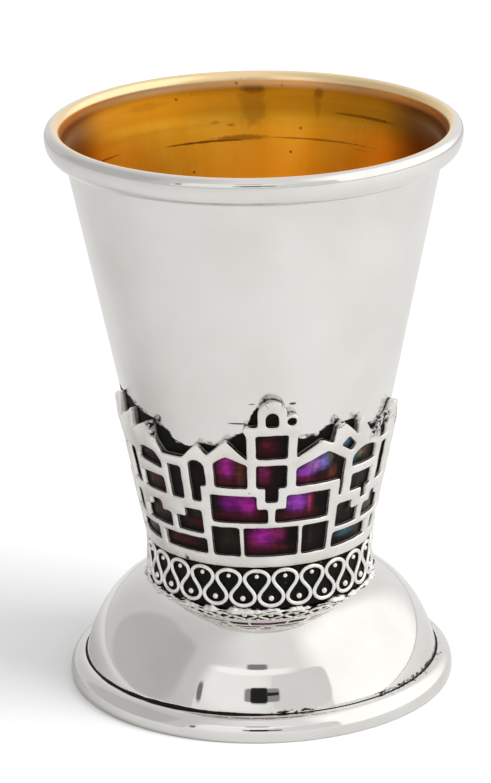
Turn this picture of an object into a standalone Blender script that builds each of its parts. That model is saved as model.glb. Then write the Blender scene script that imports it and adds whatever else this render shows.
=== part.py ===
# Kiddush cup: a silver beaker with a rolled rim, standing on a domed foot.
# A pierced skyline band over an enamelled ground goes round the lower bowl, and a collar of
# serpentine filigree with granules covers the neck between bowl and foot.
# Metres, +Z up, the origin at the centre of the circle that the cup stands on, the tower at -Y.

import math

import bmesh
import bpy
from mathutils import Vector
from mathutils.geometry import delaunay_2d_cdt

MM = 0.001

# Driving dimensions of the turned silver
RIM_DIAMETER = 62.0 * MM
CUP_HEIGHT = 87.0 * MM
SHEET = 0.7 * MM            # thickness of the spun silver
GAP = 0.3 * MM              # clearance between neighbouring pieces
ROLL_WIDTH = 2.4 * MM       # rolled rim, measured across its top
ROLL_CROWN = 1.3 * MM       # from the rim's widest line up to its crest
ROLL_SKIRT = 3.2 * MM       # from the widest line down to the wall
ROLL_OVERHANG = 2.95 * MM   # how far the rim stands out past the wall
WALL_TAPER = 0.204          # radius lost for each metre down the wall
BASE_FILLET = 2.5 * MM      # rounding between the wall and the bottom
FOOT_DIAMETER = 58.7 * MM
RING_WIDTH = 2.2 * MM
RING_HEIGHT = 3.6 * MM
RING_EDGE = 1.0 * MM        # height of the ring's widest line
RING_UNDERCUT = 0.25 * MM   # how far the ring draws in under its widest line
DOME_HEIGHT = 16.0 * MM     # flat top of the dome, which carries bowl and collar
DOME_FOOT_LEAN = 0.27       # inward lean of the dome where it leaves the ring
DOME_TOP_RISE = 0.36        # slope of the dome where it reaches the collar

# Driving dimensions of the collar
COLLAR_HEIGHT = 6.5 * MM
COLLAR_SHEET = 0.55 * MM
WIRE_HEIGHT = 0.55 * MM
WIRE_WIDTH = 0.6 * MM
WIRE_MARGIN = 0.2 * MM      # plain ground above and below the wire
WIRE_LOOPS = 25
WIRE_SWING = 0.29           # how far the wire swings back under its loops, as a share of the pitch
GRANULE = 0.9 * MM          # width of a granule
GRANULE_HEIGHT = 0.5 * MM
GRANULE_INSET = 1.0 * MM    # from the crest of the wire to the granule's middle

# Sheets of the band
GROUND_SHEET = 0.2 * MM
BAND_SHEET = 0.6 * MM

# Heights on the band; the levels below are stacked up from them
BORDER = 1.95 * MM          # plain border under the stones
LOW_STONE = 2.45 * MM       # the long, low stones of the first course
HIGH_STONE = 4.8 * MM       # the stones under the tower and beside it
BAR = 0.92 * MM             # a joint between two courses
WIDE_BAR = 1.4 * MM         # a string course under windows
STEP_RISE = 1.5 * MM        # how far the stepped stones rise past their shelves
SLOT_LIFT = 1.3 * MM        # from those shelves up to the slot under the square window
MIDDLE_STONE = 4.5 * MM     # the stones on either side of the tower's foot
NOTCH = 2.3 * MM            # height of their shelf under the tower's slot
SLOT_SILL = 1.2 * MM        # metal between that shelf and the tower's slot
HOUSE_SILL = 1.6 * MM       # metal between the stepped stones and the side windows
WINDOW = 3.0 * MM           # upper windows, up to the eaves
SHORT_HEAD = 0.4 * MM       # how much lower the flat window's head and the lean-to's eave are
LEAN_TO_FOOT = 0.6 * MM     # rise of the lean-to's foot towards its outer end
ARCH = 2.9 * MM             # the arched window beside the right gable
ARCH_SPRING = 1.3 * MM      # from its foot to where its arch starts
GABLE = 2.2 * MM            # rise of a gable above the eaves
LEFT_EAVE_RISE = 0.85 * MM  # how much higher the left gable's eaves are
TOWER_WINDOW = 3.75 * MM    # the tower's lower window
TOWER_BAR = 1.15 * MM       # metal between the tower's windows
TOWER_LIGHT = 3.85 * MM     # the tower's upper window
CORNICE = 1.5 * MM
CORNICE_HORN = 0.9 * MM     # height at which the cornice is widest
TOWER_DOME = 4.25 * MM
DOME_SPRING = 2.0 * MM      # straight foot of the tower's dome
DOME_WINDOW = 2.3 * MM
TURRET = 1.2 * MM           # the small pierced turret beside that dome, from its middle up
TURRET_MIDDLE = 0.75 * MM   # its middle, above the cornice
TURRET_LIGHT = 0.62 * MM
SHOULDER = 1.8 * MM         # where the tower leaves the roofs beside it, above the eaves
HALL_ARCH = 3.2 * MM        # rise of the left hall's arched windows above the eaves
LOW_ARCH = 2.0 * MM         # rise of the right hall's arched windows
LOW_ARCH_SPRING = 1.6 * MM  # where those arches start, below the eaves

# Widths round the band, in degrees
TOWER_HALF = 10.3           # half the width of the tower's shaft
CORNICE_HALF = 11.2
HORN_HALF = 11.6
CROWN_HALF = 5.7            # the dome on the tower
CROWN_LIGHT_HALF = 2.4
LIGHT_HALF = 6.4            # the tower's windows
SLOT_HALF = 2.7
MIDDLE_HALF = 12.8          # the stone under the tower
TURRET_ANGLE = 7.7          # from the tower's middle to the turret's
TURRET_HALF = 3.1
TURRET_LIGHT_HALF = 1.75
HALL_LIGHT_HALF = 7.5
QUARTER_TURN = 90.0
FULL_TURN = 360.0

# Roofs beside the tower: degrees from it, and millimetres above the eaves
ROOFS_RIGHT = ((21.2, 4.2), (26.4, 3.3), (27.3, 6.0), (29.4, 6.8), (38.8, 3.7), (38.2, 6.0),
               (39.8, 6.5), (46.5, 3.6), (50.2, 3.7), (56.0, 6.0), (61.5, 7.1), (67.0, 5.0), (70.4, 3.4),
               (79.0, 2.1), (90.0, 2.5))
ROOFS_LEFT = ((-90.0, 7.1), (-82.0, 7.9), (-76.5, 9.7), (-73.4, 9.7), (-74.4, 4.8), (-61.3, 7.4),
              (-59.6, 8.2), (-62.5, 4.4), (-52.0, 6.7), (-50.0, 6.6), (-51.6, 3.7), (-48.7, 1.3),
              (-38.7, 1.3), (-31.6, 3.8), (-27.2, 2.2), (-18.7, 4.9))
# Upper edge of the blackened ground, which fills the valleys between the roofs
GROUND_RIGHT = ((0.0, 10.8), (4.6, 9.6), (6.4, 8.3), (9.2, 6.4), (9.6, 4.4), (20.5, 5.0), (28.0, 6.4),
                (38.0, 6.2), (43.0, 6.0), (48.0, 4.7), (55.0, 5.2), (63.0, 6.4), (68.0, 6.0), (72.0, 4.9),
                (80.0, 3.4), (90.0, 3.5))
GROUND_LEFT = ((-90.0, 8.2), (-79.0, 8.1), (-68.4, 7.4), (-63.0, 7.0), (-57.0, 6.6), (-47.0, 5.6), (-44.0, 3.4),
               (-33.0, 3.4), (-22.0, 4.0), (-17.8, 4.9), (-9.6, 6.2), (-8.4, 8.0), (-5.2, 9.4))

# Fineness of the solids
TURNED_STEPS = 40           # facets round each turned piece
WIRE_STEPS = 10             # straight stretches in one period of the wire
BAND_STEPS = 40             # slabs that the band is cut into, so that it follows the bowl
MERGE = GAP / 1000


# Heights and radii that follow from the sizes above
rim_radius = RIM_DIAMETER / 2
widest_rim = CUP_HEIGHT - ROLL_CROWN
wall_top = widest_rim - ROLL_SKIRT
wall_top_radius = rim_radius - ROLL_OVERHANG
beaker_base = DOME_HEIGHT + GAP
collar_top = beaker_base + COLLAR_HEIGHT
band_base = collar_top + GAP
foot_radius = FOOT_DIAMETER / 2
dome_radius = foot_radius - RING_WIDTH - GAP


def wall_radius(z):
    """Outer radius of the bowl's wall at a height."""
    return wall_top_radius - WALL_TAPER * (wall_top - z)


collar_inner = wall_radius(collar_top) + GAP
collar_ground = collar_inner + COLLAR_SHEET
collar_outer = collar_ground + WIRE_HEIGHT
ground_offset = GAP
band_offset = ground_offset + GROUND_SHEET + GAP

# Levels on the band, from its lower edge
low_stone_top = BORDER + LOW_STONE
second_floor = low_stone_top + BAR
high_stone_top = BORDER + HIGH_STONE
step_shelf = high_stone_top + BAR
step_top = step_shelf + STEP_RISE
slot_foot = step_shelf + SLOT_LIFT
notch_top = step_shelf + NOTCH
tower_slot = notch_top + SLOT_SILL
stone_top = step_shelf + MIDDLE_STONE
house_floor = step_top + HOUSE_SILL
window_foot = stone_top + WIDE_BAR
arch_foot = window_foot + WIDE_BAR
arch_top = arch_foot + ARCH
eaves = window_foot + WINDOW
gable_top = eaves + GABLE
tower_floor = window_foot + TOWER_WINDOW
tower_sill = tower_floor + TOWER_BAR
cornice_foot = tower_sill + TOWER_LIGHT
cornice_top = cornice_foot + CORNICE
turret_middle = cornice_top + TURRET_MIDDLE


def material(name, colour, roughness, metallic):
    made = bpy.data.materials.new(name)
    made.use_nodes = True
    shader = made.node_tree.nodes["Principled BSDF"]
    shader.inputs["Base Color"].default_value = (*colour, 1.0)
    shader.inputs["Roughness"].default_value = roughness
    shader.inputs["Metallic"].default_value = metallic
    return made


def add_object(name, bm, finish, smooth_angle=35.0):
    """Turns a bmesh into a named object with one material."""
    bmesh.ops.recalc_face_normals(bm, faces=bm.faces)
    mesh = bpy.data.meshes.new(name)
    bm.to_mesh(mesh)
    bm.free()
    mesh.materials.append(finish)
    mesh.shade_smooth()
    mesh.set_sharp_from_angle(angle=math.radians(smooth_angle))
    made = bpy.data.objects.new(name, mesh)
    bpy.context.scene.collection.objects.link(made)
    return made


def ellipse_arc(centre, radii, start, end, steps):
    """Points (r, z) on an ellipse, from one angle in degrees to another."""
    points = []
    for step in range(steps + 1):
        angle = math.radians(start + (end - start) * step / steps)
        points.append((centre[0] + radii[0] * math.cos(angle), centre[1] + radii[1] * math.sin(angle)))
    return points


def turned(name, outline, finish):
    """Spins a closed outline of (r, z) points about Z."""
    bm = bmesh.new()
    verts = [bm.verts.new((r, 0.0, z)) for r, z in outline]
    edges = []
    for start, end in zip(verts, verts[1:] + verts[:1]):
        if start.co.x > 0 or end.co.x > 0:      # an edge that lies on the axis sweeps no face
            edges.append(bm.edges.new((start, end)))
    bmesh.ops.spin(bm, geom=verts + edges, cent=(0, 0, 0), axis=(0, 0, 1), angle=math.tau,
                   steps=TURNED_STEPS, use_merge=True)
    bmesh.ops.remove_doubles(bm, verts=bm.verts, dist=MERGE)
    return add_object(name, bm, finish)


def beaker(finish):
    """The tapering bowl: outside up to the rolled rim, over it, and down the inside."""
    floor = beaker_base + SHEET
    centre_r = rim_radius - ROLL_WIDTH / 2
    outline = [(0.0, beaker_base)]
    fillet_z = beaker_base + BASE_FILLET
    fillet_r = wall_radius(fillet_z) - BASE_FILLET
    outline += ellipse_arc((fillet_r, fillet_z), (BASE_FILLET, BASE_FILLET), -90, 0, 3)
    outline.append((wall_top_radius, wall_top))
    outline += ellipse_arc((wall_top_radius, widest_rim), (ROLL_OVERHANG, ROLL_SKIRT), -65, 0, 3)
    outline += ellipse_arc((centre_r, widest_rim), (ROLL_WIDTH / 2, ROLL_CROWN), 30, 180, 5)
    outline.append((wall_top_radius - SHEET, wall_top))
    inner_z = floor + BASE_FILLET
    inner_r = wall_radius(inner_z) - SHEET - BASE_FILLET
    outline += ellipse_arc((inner_r, inner_z), (BASE_FILLET, BASE_FILLET), 0, -90, 3)
    outline.append((0.0, floor))
    return turned("beaker", outline, finish)


def dome_curve(steps):
    """The dome's outer line, one curve that leaves the ring and reaches the collar at set slopes."""
    foot = Vector((dome_radius, RING_HEIGHT + GAP))
    top = Vector((collar_outer, DOME_HEIGHT))
    span_r = foot.x - top.x
    span_z = top.y - foot.y
    rise = (span_z - DOME_TOP_RISE * span_r) / (1 - DOME_TOP_RISE * DOME_FOOT_LEAN)
    corner = Vector((foot.x - DOME_FOOT_LEAN * rise, foot.y + rise))
    points = []
    for step in range(steps + 1):
        t = step / steps
        points.append(foot * (1 - t) ** 2 + corner * (2 * t * (1 - t)) + top * t ** 2)
    return points


def inset(points, distance):
    """A line of points moved sideways, to the left of its direction."""
    moved = []
    for index, point in enumerate(points):
        before = points[max(index - 1, 0)]
        after = points[min(index + 1, len(points) - 1)]
        along = (after - before).normalized()
        moved.append(point + Vector((-along.y, along.x)) * distance)
    return moved


def foot_dome(finish):
    """The hollow dome; its skirt stands inside the ring."""
    outer = dome_curve(7)
    inner = inset(outer[:-1], SHEET)
    outline = [(dome_radius - SHEET, 0.0), (dome_radius, 0.0)]
    outline += [tuple(point) for point in outer]
    outline.append((0.0, DOME_HEIGHT))
    outline.append((0.0, DOME_HEIGHT - SHEET))
    outline.append((collar_outer, DOME_HEIGHT - SHEET))
    outline += [tuple(point) for point in reversed(inner[1:])]
    outline.append((dome_radius - SHEET, RING_HEIGHT + GAP))
    return turned("foot_dome", outline, finish)


def foot_ring(finish):
    """The rounded ring that the cup stands on, flat below."""
    inner = foot_radius - RING_WIDTH
    outline = [(inner, 0.0), (foot_radius - RING_UNDERCUT, 0.0)]
    outline += ellipse_arc((inner, RING_EDGE), (RING_WIDTH, RING_HEIGHT - RING_EDGE), 0, 90, 6)
    return turned("foot_ring", outline, finish)


def box(left, right, low, high):
    return [(left, low), (right, low), (right, high), (left, high)]


def arched(left, right, low, spring, high, steps=4):
    """A window with an arch; angles in degrees, heights in metres."""
    middle = (left + right) / 2
    half = (right - left) / 2
    head = ellipse_arc((middle, spring), (half, high - spring), 0, 180, steps)
    return [(left, low), (right, low)] + head


def mirrored(loops):
    return [[(-angle, z) for angle, z in reversed(loop)] for loop in loops]


def behind(loops):
    return [[(FULL_TURN / 2 - angle, z) for angle, z in reversed(loop)] for loop in loops]


def course_openings():
    """The stones of the two lower courses, on the right of the tower."""
    return [
        box(14.8, 28.3, BORDER, high_stone_top),
        box(31.3, 57.4, BORDER, low_stone_top),
        box(61.5, 88.0, BORDER, low_stone_top),
        [(1.7, step_shelf), (27.3, step_shelf), (27.3, stone_top), (6.6, stone_top), (6.6, notch_top),
         (1.7, notch_top)],
        [(32.2, second_floor), (46.6, second_floor), (46.6, step_shelf), (41.1, step_shelf),
         (41.1, step_top), (32.2, step_top)],
        [(49.9, second_floor), (69.3, second_floor), (69.3, step_shelf), (63.9, step_shelf),
         (63.9, step_top), (55.3, step_top), (55.3, step_shelf), (49.9, step_shelf)],
        box(72.6, 88.0, second_floor, step_top),
    ]


def tower_openings():
    """From the stone under the tower up to the light in its dome."""
    crown_spring = cornice_top + DOME_WINDOW / 2
    return [
        box(-MIDDLE_HALF, MIDDLE_HALF, BORDER, high_stone_top),
        [(-LIGHT_HALF, window_foot), (-SLOT_HALF, window_foot), (-SLOT_HALF, tower_slot),
         (SLOT_HALF, tower_slot), (SLOT_HALF, window_foot), (LIGHT_HALF, window_foot),
         (LIGHT_HALF, tower_floor), (-LIGHT_HALF, tower_floor)],
        box(-LIGHT_HALF, LIGHT_HALF, tower_sill, cornice_foot),
        arched(-CROWN_LIGHT_HALF, CROWN_LIGHT_HALF, cornice_top, crown_spring, cornice_top + DOME_WINDOW),
        ellipse_arc((TURRET_ANGLE, turret_middle), (TURRET_LIGHT_HALF, TURRET_LIGHT), 0, 300, 5),
    ]


def right_openings():
    """Houses on the right of the tower: a gable with a leg, a slotted window, an arch and a slit."""
    diamond = [(30.4, 2.7), (35.9, 1.3), (38.6, 2.2), (33.6, 3.8)]
    return [
        [(10.4, window_foot), (31.9, window_foot), (31.9, house_floor), (33.8, house_floor),
         (33.9, eaves), (23.9, gable_top), (10.4, eaves)],
        [(angle, eaves + rise * MM) for angle, rise in diamond],
        [(38.5, house_floor), (46.4, house_floor), (46.4, slot_foot), (51.0, slot_foot),
         (51.0, house_floor), (53.6, house_floor), (53.6, window_foot), (38.5, window_foot)],
        arched(37.6, 53.6, arch_foot, arch_foot + ARCH_SPRING, arch_top),
        box(57.7, 63.7, house_floor, eaves),
    ]


def left_openings():
    """Houses on the left: a gable, a keyhole, a tall window and a lean-to over a low window."""
    left_eaves = eaves + LEFT_EAVE_RISE
    low_eave = eaves - SHORT_HEAD
    return [
        [(-24.5, window_foot), (-10.4, window_foot), (-10.4, left_eaves), (-19.2, gable_top),
         (-24.5, left_eaves)],
        [(-36.1, house_floor), (-31.4, house_floor), (-31.4, window_foot), (-28.6, window_foot)]
        + ellipse_arc((-32.35, eaves), (3.75, GABLE / 2), 0, 180, 4),
        box(-47.3, -40.2, house_floor, low_eave),
        box(-66.3, -50.4, house_floor, window_foot),
        [(-66.3, arch_foot + LEAN_TO_FOOT), (-50.6, arch_foot), (-50.4, low_eave),
         (-53.6, arch_top - SHORT_HEAD), (-59.5, arch_top), (-64.2, arch_top - SHORT_HEAD)],
    ]


def hall_arch(middle, spring, rise):
    """The arched window in the middle of a side hall."""
    return arched(middle - HALL_LIGHT_HALF, middle + HALL_LIGHT_HALF, house_floor, spring, spring + rise, 6)


def all_openings():
    courses = course_openings()
    side = right_openings() + left_openings()
    front = courses + mirrored(courses) + side + tower_openings()
    slit = [box(68.5, 78.0, house_floor, eaves)]
    slits = slit + mirrored(slit)
    halls = [hall_arch(-QUARTER_TURN, eaves, HALL_ARCH),
             hall_arch(QUARTER_TURN, eaves - LOW_ARCH_SPRING, LOW_ARCH)]
    return front + behind(front) + slits + behind(slits) + halls


def half_dome(middle, half, low, spring, high, steps):
    """The left half of a dome's outline, from its foot up to its crown."""
    arc = ellipse_arc((middle, spring), (half, high - spring), FULL_TURN / 2, QUARTER_TURN, steps)
    return [(middle - half, low)] + arc


def crown():
    return half_dome(0.0, CROWN_HALF, cornice_top, cornice_top + DOME_SPRING, cornice_top + TOWER_DOME, 4)


def turret():
    """The small turret that leans on the crown's right side."""
    head = ellipse_arc((TURRET_ANGLE, turret_middle), (TURRET_HALF, TURRET), 120, 0, 4)
    return [(CROWN_HALF, turret_middle + TURRET_MIDDLE)] + head


def tower_side():
    """The tower's right edge, from its cornice down to the roofs beside it."""
    return [(CORNICE_HALF, cornice_top), (HORN_HALF, cornice_foot + CORNICE_HORN),
            (TOWER_HALF, cornice_foot), (TOWER_HALF, eaves + SHOULDER)]


def above_eaves(line):
    """A table of roof points as (degrees, metres from the band's lower edge)."""
    return [(angle, eaves + rise * MM) for angle, rise in line]


def roof_right():
    """The town's outline from the tower's crown to the hall that faces +X."""
    return mirrored([crown()])[0][:-1] + turret() + tower_side() + above_eaves(ROOFS_RIGHT)


def roof_left():
    """The outline from the hall that faces -X to the tower's crown."""
    return above_eaves(ROOFS_LEFT) + mirrored([tower_side()])[0] + crown()


def all_round(left, right):
    """Closes an upper edge given for the front half: the back half is its mirror image."""
    front = left + right[1:] if left[-1] == right[0] else left + right
    back = [(-FULL_TURN / 2 - angle, z) for angle, z in reversed(front)]
    upper = back[:-1] + front
    return [(upper[0][0], 0.0), (upper[-1][0], 0.0)] + list(reversed(upper))


def inside(point, loop):
    """Whether a flat point lies in a closed loop."""
    hit = False
    for (ax, ay), (bx, by) in zip(loop, loop[1:] + loop[:1]):
        if (ay > point[1]) != (by > point[1]):
            if point[0] < ax + (point[1] - ay) * (bx - ax) / (by - ay):
                hit = not hit
    return hit


def flat_mesh(loops, lines, points, keep):
    """Triangles of a flat pattern; `keep` says which of them, by their middle, are wanted."""
    verts, edges = [], []
    for loop in loops:
        first = len(verts)
        verts += [Vector(point) for point in loop]
        edges += [(first + i, first + (i + 1) % len(loop)) for i in range(len(loop))]
    for line in lines:
        first = len(verts)
        verts += [Vector(point) for point in line]
        edges += [(first + i, first + i + 1) for i in range(len(line) - 1)]
    verts += [Vector(point) for point in points]
    out, _, faces, _, _, _ = delaunay_2d_cdt(verts, edges, [], 0, MERGE)
    kept = []
    for face in faces:
        middle = sum((out[i] for i in face), Vector((0.0, 0.0))) / len(face)
        if keep(middle):
            kept.append(face)
    return out, kept


def on_round(radius, angle, z):
    """A point at a radius, at an angle in radians from -Y towards +X."""
    return (radius * math.sin(angle), -radius * math.cos(angle), z)


def wrapped(name, outline, openings, offset, thickness, finish):
    """A pierced sheet wrapped round the bowl's wall, at an offset from it."""
    start, end = outline[0][0], outline[1][0]
    scale = math.radians(wall_radius(band_base))
    top = max(z for _, z in outline) + MM
    loops = []
    for loop in openings:
        for turn in (-FULL_TURN, 0.0, FULL_TURN):
            shifted = [((angle + turn) * scale, z) for angle, z in loop]
            if max(p[0] for p in shifted) > start * scale and min(p[0] for p in shifted) < end * scale:
                loops.append(shifted)
    border = [(angle * scale, z) for angle, z in outline]
    slabs = []
    for slab in range(BAND_STEPS + 1):
        across = (start + (end - start) * slab / BAND_STEPS) * scale
        slabs.append([(across, 0.0), (across, top)])
    points, faces = flat_mesh([border] + loops, slabs, [],
                              lambda p: inside(p, border) and not any(inside(p, loop) for loop in loops))
    bm = bmesh.new()
    placed = {}
    for face in faces:
        for index in face:
            if index not in placed:
                z = band_base + points[index].y
                angle = math.radians(points[index].x / scale)
                placed[index] = bm.verts.new(on_round(wall_radius(z) + offset, angle, z))
        bm.faces.new([placed[index] for index in face])
    bmesh.ops.remove_doubles(bm, verts=bm.verts, dist=MERGE)
    raised = bmesh.ops.extrude_face_region(bm, geom=bm.faces[:], use_keep_orig=True)
    for vert in [item for item in raised["geom"] if isinstance(item, bmesh.types.BMVert)]:
        outward = Vector((vert.co.x, vert.co.y, 0.0)).normalized()
        vert.co += outward * thickness
    return add_object(name, bm, finish)


def wire_line(pitch, low, high):
    """One period of the serpentine wire: it swings back under each loop, so the loops bulge."""
    points = []
    for step in range(WIRE_STEPS + 1):
        t = step / WIRE_STEPS - 0.5
        across = pitch * (t + WIRE_SWING * math.sin(2 * math.tau * t))
        points.append(Vector((across, (low + high) / 2 + (high - low) / 2 * math.cos(math.tau * t))))
    return points


def collar_pattern():
    """One flat period of the collar: triangles, the wire's crest and the granules' middles."""
    pitch = math.tau * collar_ground / WIRE_LOOPS
    low = WIRE_MARGIN + WIRE_WIDTH / 2
    high = COLLAR_HEIGHT - WIRE_MARGIN - WIRE_WIDTH / 2
    crest = wire_line(pitch, low, high)
    edges = [inset(crest, WIRE_WIDTH / 2), inset(crest, -WIRE_WIDTH / 2)]
    centres = [(0.0, high - GRANULE_INSET)]
    centres += [(side * pitch / 2, low + GRANULE_INSET) for side in (-1, 1)]
    half = GRANULE / 2
    beads = [[(x, z - half), (x + half, z), (x, z + half), (x - half, z)] for x, z in centres]
    border = box(-pitch / 2, pitch / 2, 0.0, COLLAR_HEIGHT)
    points, faces = flat_mesh([border] + beads, [crest] + edges, centres,
                              lambda p: abs(p.x) < pitch / 2 and 0.0 < p.y < COLLAR_HEIGHT)
    return pitch, points, faces, crest, [Vector(centre) for centre in centres]


def filigree_collar(finish):
    """Ground ring with a ridge of serpentine wire and a granule in each loop."""
    pitch, points, faces, crest, centres = collar_pattern()

    def relief(point):
        if min((point - item).length for item in crest) < MERGE:
            return WIRE_HEIGHT
        if min((point - item).length for item in centres) < MERGE:
            return GRANULE_HEIGHT
        return 0.0

    bm = bmesh.new()
    for loop in range(WIRE_LOOPS):
        placed = []
        for point in points:
            angle = (point.x + (loop + 0.5) * pitch) / collar_ground
            placed.append(bm.verts.new(on_round(collar_ground + relief(point), angle,
                                                beaker_base + point.y)))
        for face in faces:
            bm.faces.new([placed[index] for index in face])
    loose = [vert for vert in bm.verts if not vert.link_faces]
    bmesh.ops.delete(bm, geom=loose, context="VERTS")
    bmesh.ops.remove_doubles(bm, verts=bm.verts, dist=MERGE)
    rims = [edge for edge in bm.edges if edge.is_boundary]
    sides = bmesh.ops.extrude_edge_only(bm, edges=rims)
    for vert in [item for item in sides["geom"] if isinstance(item, bmesh.types.BMVert)]:
        outward = Vector((vert.co.x, vert.co.y, 0.0)).normalized()
        vert.co = outward * collar_inner + Vector((0.0, 0.0, vert.co.z))
    rims = [edge for edge in bm.edges if edge.is_boundary]
    bmesh.ops.bridge_loops(bm, edges=rims)
    return add_object("filigree_collar", bm, finish)


def build():
    for item in list(bpy.data.objects):
        bpy.data.objects.remove(item, do_unlink=True)
    beaker(material("silver_gilt_inside", (0.86, 0.84, 0.78), 0.14, 1.0))
    foot_dome(material("polished_silver", (0.86, 0.85, 0.82), 0.12, 1.0))
    foot_ring(material("ring_silver", (0.82, 0.81, 0.78), 0.15, 1.0))
    wrapped("skyline_band", all_round(roof_left(), roof_right()), all_openings(), band_offset,
            BAND_SHEET, material("cast_silver", (0.80, 0.79, 0.76), 0.25, 1.0))
    wrapped("enamel_ground", all_round(above_eaves(GROUND_LEFT), above_eaves(GROUND_RIGHT)), [],
            ground_offset, GROUND_SHEET, material("enamel", (0.25, 0.02, 0.22), 0.2, 0.0))
    filigree_collar(material("oxidised_silver", (0.55, 0.54, 0.52), 0.3, 1.0))


build()
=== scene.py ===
# %% [markdown]
# # A silver kiddush cup, gilt inside
# The cup is a spun silver beaker with a rolled rim. It stands on a hollow domed foot, and a
# pierced town in cast silver, filled with enamel, goes round the lower bowl. This script dresses
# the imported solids: each is replaced by a fine mesh of the same form, with its real finish.
# It is read from top to bottom, one short step at a time.

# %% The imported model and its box
import math

import bpy
import numpy as np
from mathutils import Matrix, Vector, noise
from mathutils.geometry import delaunay_2d_cdt


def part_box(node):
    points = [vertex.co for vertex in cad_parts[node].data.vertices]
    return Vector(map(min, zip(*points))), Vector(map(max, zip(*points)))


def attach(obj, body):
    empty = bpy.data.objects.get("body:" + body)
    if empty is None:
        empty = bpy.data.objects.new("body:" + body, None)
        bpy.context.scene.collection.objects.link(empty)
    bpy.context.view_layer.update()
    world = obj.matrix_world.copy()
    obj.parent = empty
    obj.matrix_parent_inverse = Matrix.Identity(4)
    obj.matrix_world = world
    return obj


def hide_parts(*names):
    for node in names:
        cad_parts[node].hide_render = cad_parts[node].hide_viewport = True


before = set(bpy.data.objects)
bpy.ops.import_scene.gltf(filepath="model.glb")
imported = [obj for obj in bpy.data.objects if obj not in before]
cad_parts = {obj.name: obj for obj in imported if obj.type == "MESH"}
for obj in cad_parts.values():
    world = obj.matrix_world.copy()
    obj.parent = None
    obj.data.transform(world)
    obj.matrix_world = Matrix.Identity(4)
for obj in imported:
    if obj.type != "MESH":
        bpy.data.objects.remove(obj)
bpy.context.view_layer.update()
print("solids:", ", ".join(sorted(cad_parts)))

# %% [markdown]
# ## Sizes
# Everything that the solids already say is read from them, so the dressing can't drift away
# from the model. The few sizes below are finer than the solids, or are the cup's own tapers.

# %% Sizes read from the solids
MM = 0.001
rim_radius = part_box("beaker")[1].x
rim_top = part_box("beaker")[1].z
bowl_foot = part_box("beaker")[0].z
dome_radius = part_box("foot_dome")[1].x
dome_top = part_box("foot_dome")[1].z
ring_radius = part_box("foot_ring")[1].x
ring_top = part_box("foot_ring")[1].z
collar_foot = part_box("filigree_collar")[0].z
collar_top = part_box("filigree_collar")[1].z
band_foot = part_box("skyline_band")[0].z

SHEET = 0.7 * MM
ROLL_WIDTH = 2.4 * MM
ROLL_CROWN = 1.3 * MM
ROLL_SKIRT = 3.2 * MM
ROLL_OVERHANG = 2.95 * MM
ROLL_SQUARENESS = 2.4
WALL_TAPER = 0.204
widest_rim = rim_top - ROLL_CROWN
wall_top = widest_rim - ROLL_SKIRT
wall_top_radius = rim_radius - ROLL_OVERHANG


def wall_radius(z):
    """Outer radius of the bowl's wall at a height, in metres."""
    return wall_top_radius - WALL_TAPER * (wall_top - z)


print(f"rim {2000 * rim_radius:.1f} mm wide, {1000 * rim_top:.1f} mm up; "
      f"wall {1000 * wall_radius(band_foot):.2f} mm from the axis at the foot of the band")

# %% [markdown]
# ## The camera
# The camera stands a little above the cup and far from it, with a long lens, as for a product
# photograph. It is made first, so that every later step can be looked at from where it counts.
# The lens follows from the picture's size and from its focal length in pixels.

# %% Camera
PICTURE_WIDTH = 491
PICTURE_HEIGHT = 783
FOCAL_PIXELS = 4000.0
CAMERA_DISTANCE = 569.9 * MM
CAMERA_HEIGHT = 243.7 * MM
CAMERA_TURN = math.radians(-5.4)       # the tower is turned this far from the camera
CAMERA_PITCH = 0.3356
CAMERA_YAW = -0.0032
CAMERA_ROLL = -0.0162


def make_camera():
    lens = bpy.data.cameras.new("camera")
    lens.sensor_width = 36.0
    lens.lens = FOCAL_PIXELS * lens.sensor_width / max(PICTURE_WIDTH, PICTURE_HEIGHT)
    lens.clip_start = 10 * MM
    lens.clip_end = 20.0
    heading = CAMERA_YAW - CAMERA_TURN
    forward = Vector((math.sin(heading) * math.cos(CAMERA_PITCH),
                      math.cos(heading) * math.cos(CAMERA_PITCH), -math.sin(CAMERA_PITCH)))
    right = Vector((math.cos(heading), -math.sin(heading), 0.0))
    up = right.cross(forward)
    across = right * math.cos(CAMERA_ROLL) + up * math.sin(CAMERA_ROLL)
    upward = up * math.cos(CAMERA_ROLL) - right * math.sin(CAMERA_ROLL)
    camera = bpy.data.objects.new("camera", lens)
    turn = Matrix((across, upward, -forward)).transposed().to_4x4()
    place_at = Vector((math.sin(CAMERA_TURN) * CAMERA_DISTANCE,
                       -math.cos(CAMERA_TURN) * CAMERA_DISTANCE, CAMERA_HEIGHT))
    camera.matrix_world = Matrix.Translation(place_at) @ turn
    bpy.context.scene.collection.objects.link(camera)
    bpy.context.scene.camera = camera
    print(f"camera with a {lens.lens:.0f} mm lens")


make_camera()

# %% [markdown]
# ## Turned pieces
# A spun or turned piece is one outline swept round the axis. Blender has a Spin tool and a Screw
# modifier for it; here the rings are laid down in a loop, because each ring can then carry
# values of its own, such as how far a point is from the edge of the gilding.

# %% Helpers for meshes
POLE = 1e-6


def on_round(radius, angle, z):
    """A point at a radius, at an angle in radians from -Y towards +X."""
    return (radius * math.sin(angle), -radius * math.cos(angle), z)


def new_piece(name, verts, faces, sharp=40.0):
    """A smooth-shaded mesh object that rides on the cup."""
    mesh = bpy.data.meshes.new(name)
    mesh.from_pydata(verts, [], faces)
    mesh.validate()
    mesh.shade_smooth()
    mesh.set_sharp_from_angle(angle=math.radians(sharp))
    piece = bpy.data.objects.new(name, mesh)
    bpy.context.scene.collection.objects.link(piece)
    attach(piece, "root")
    return piece


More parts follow.
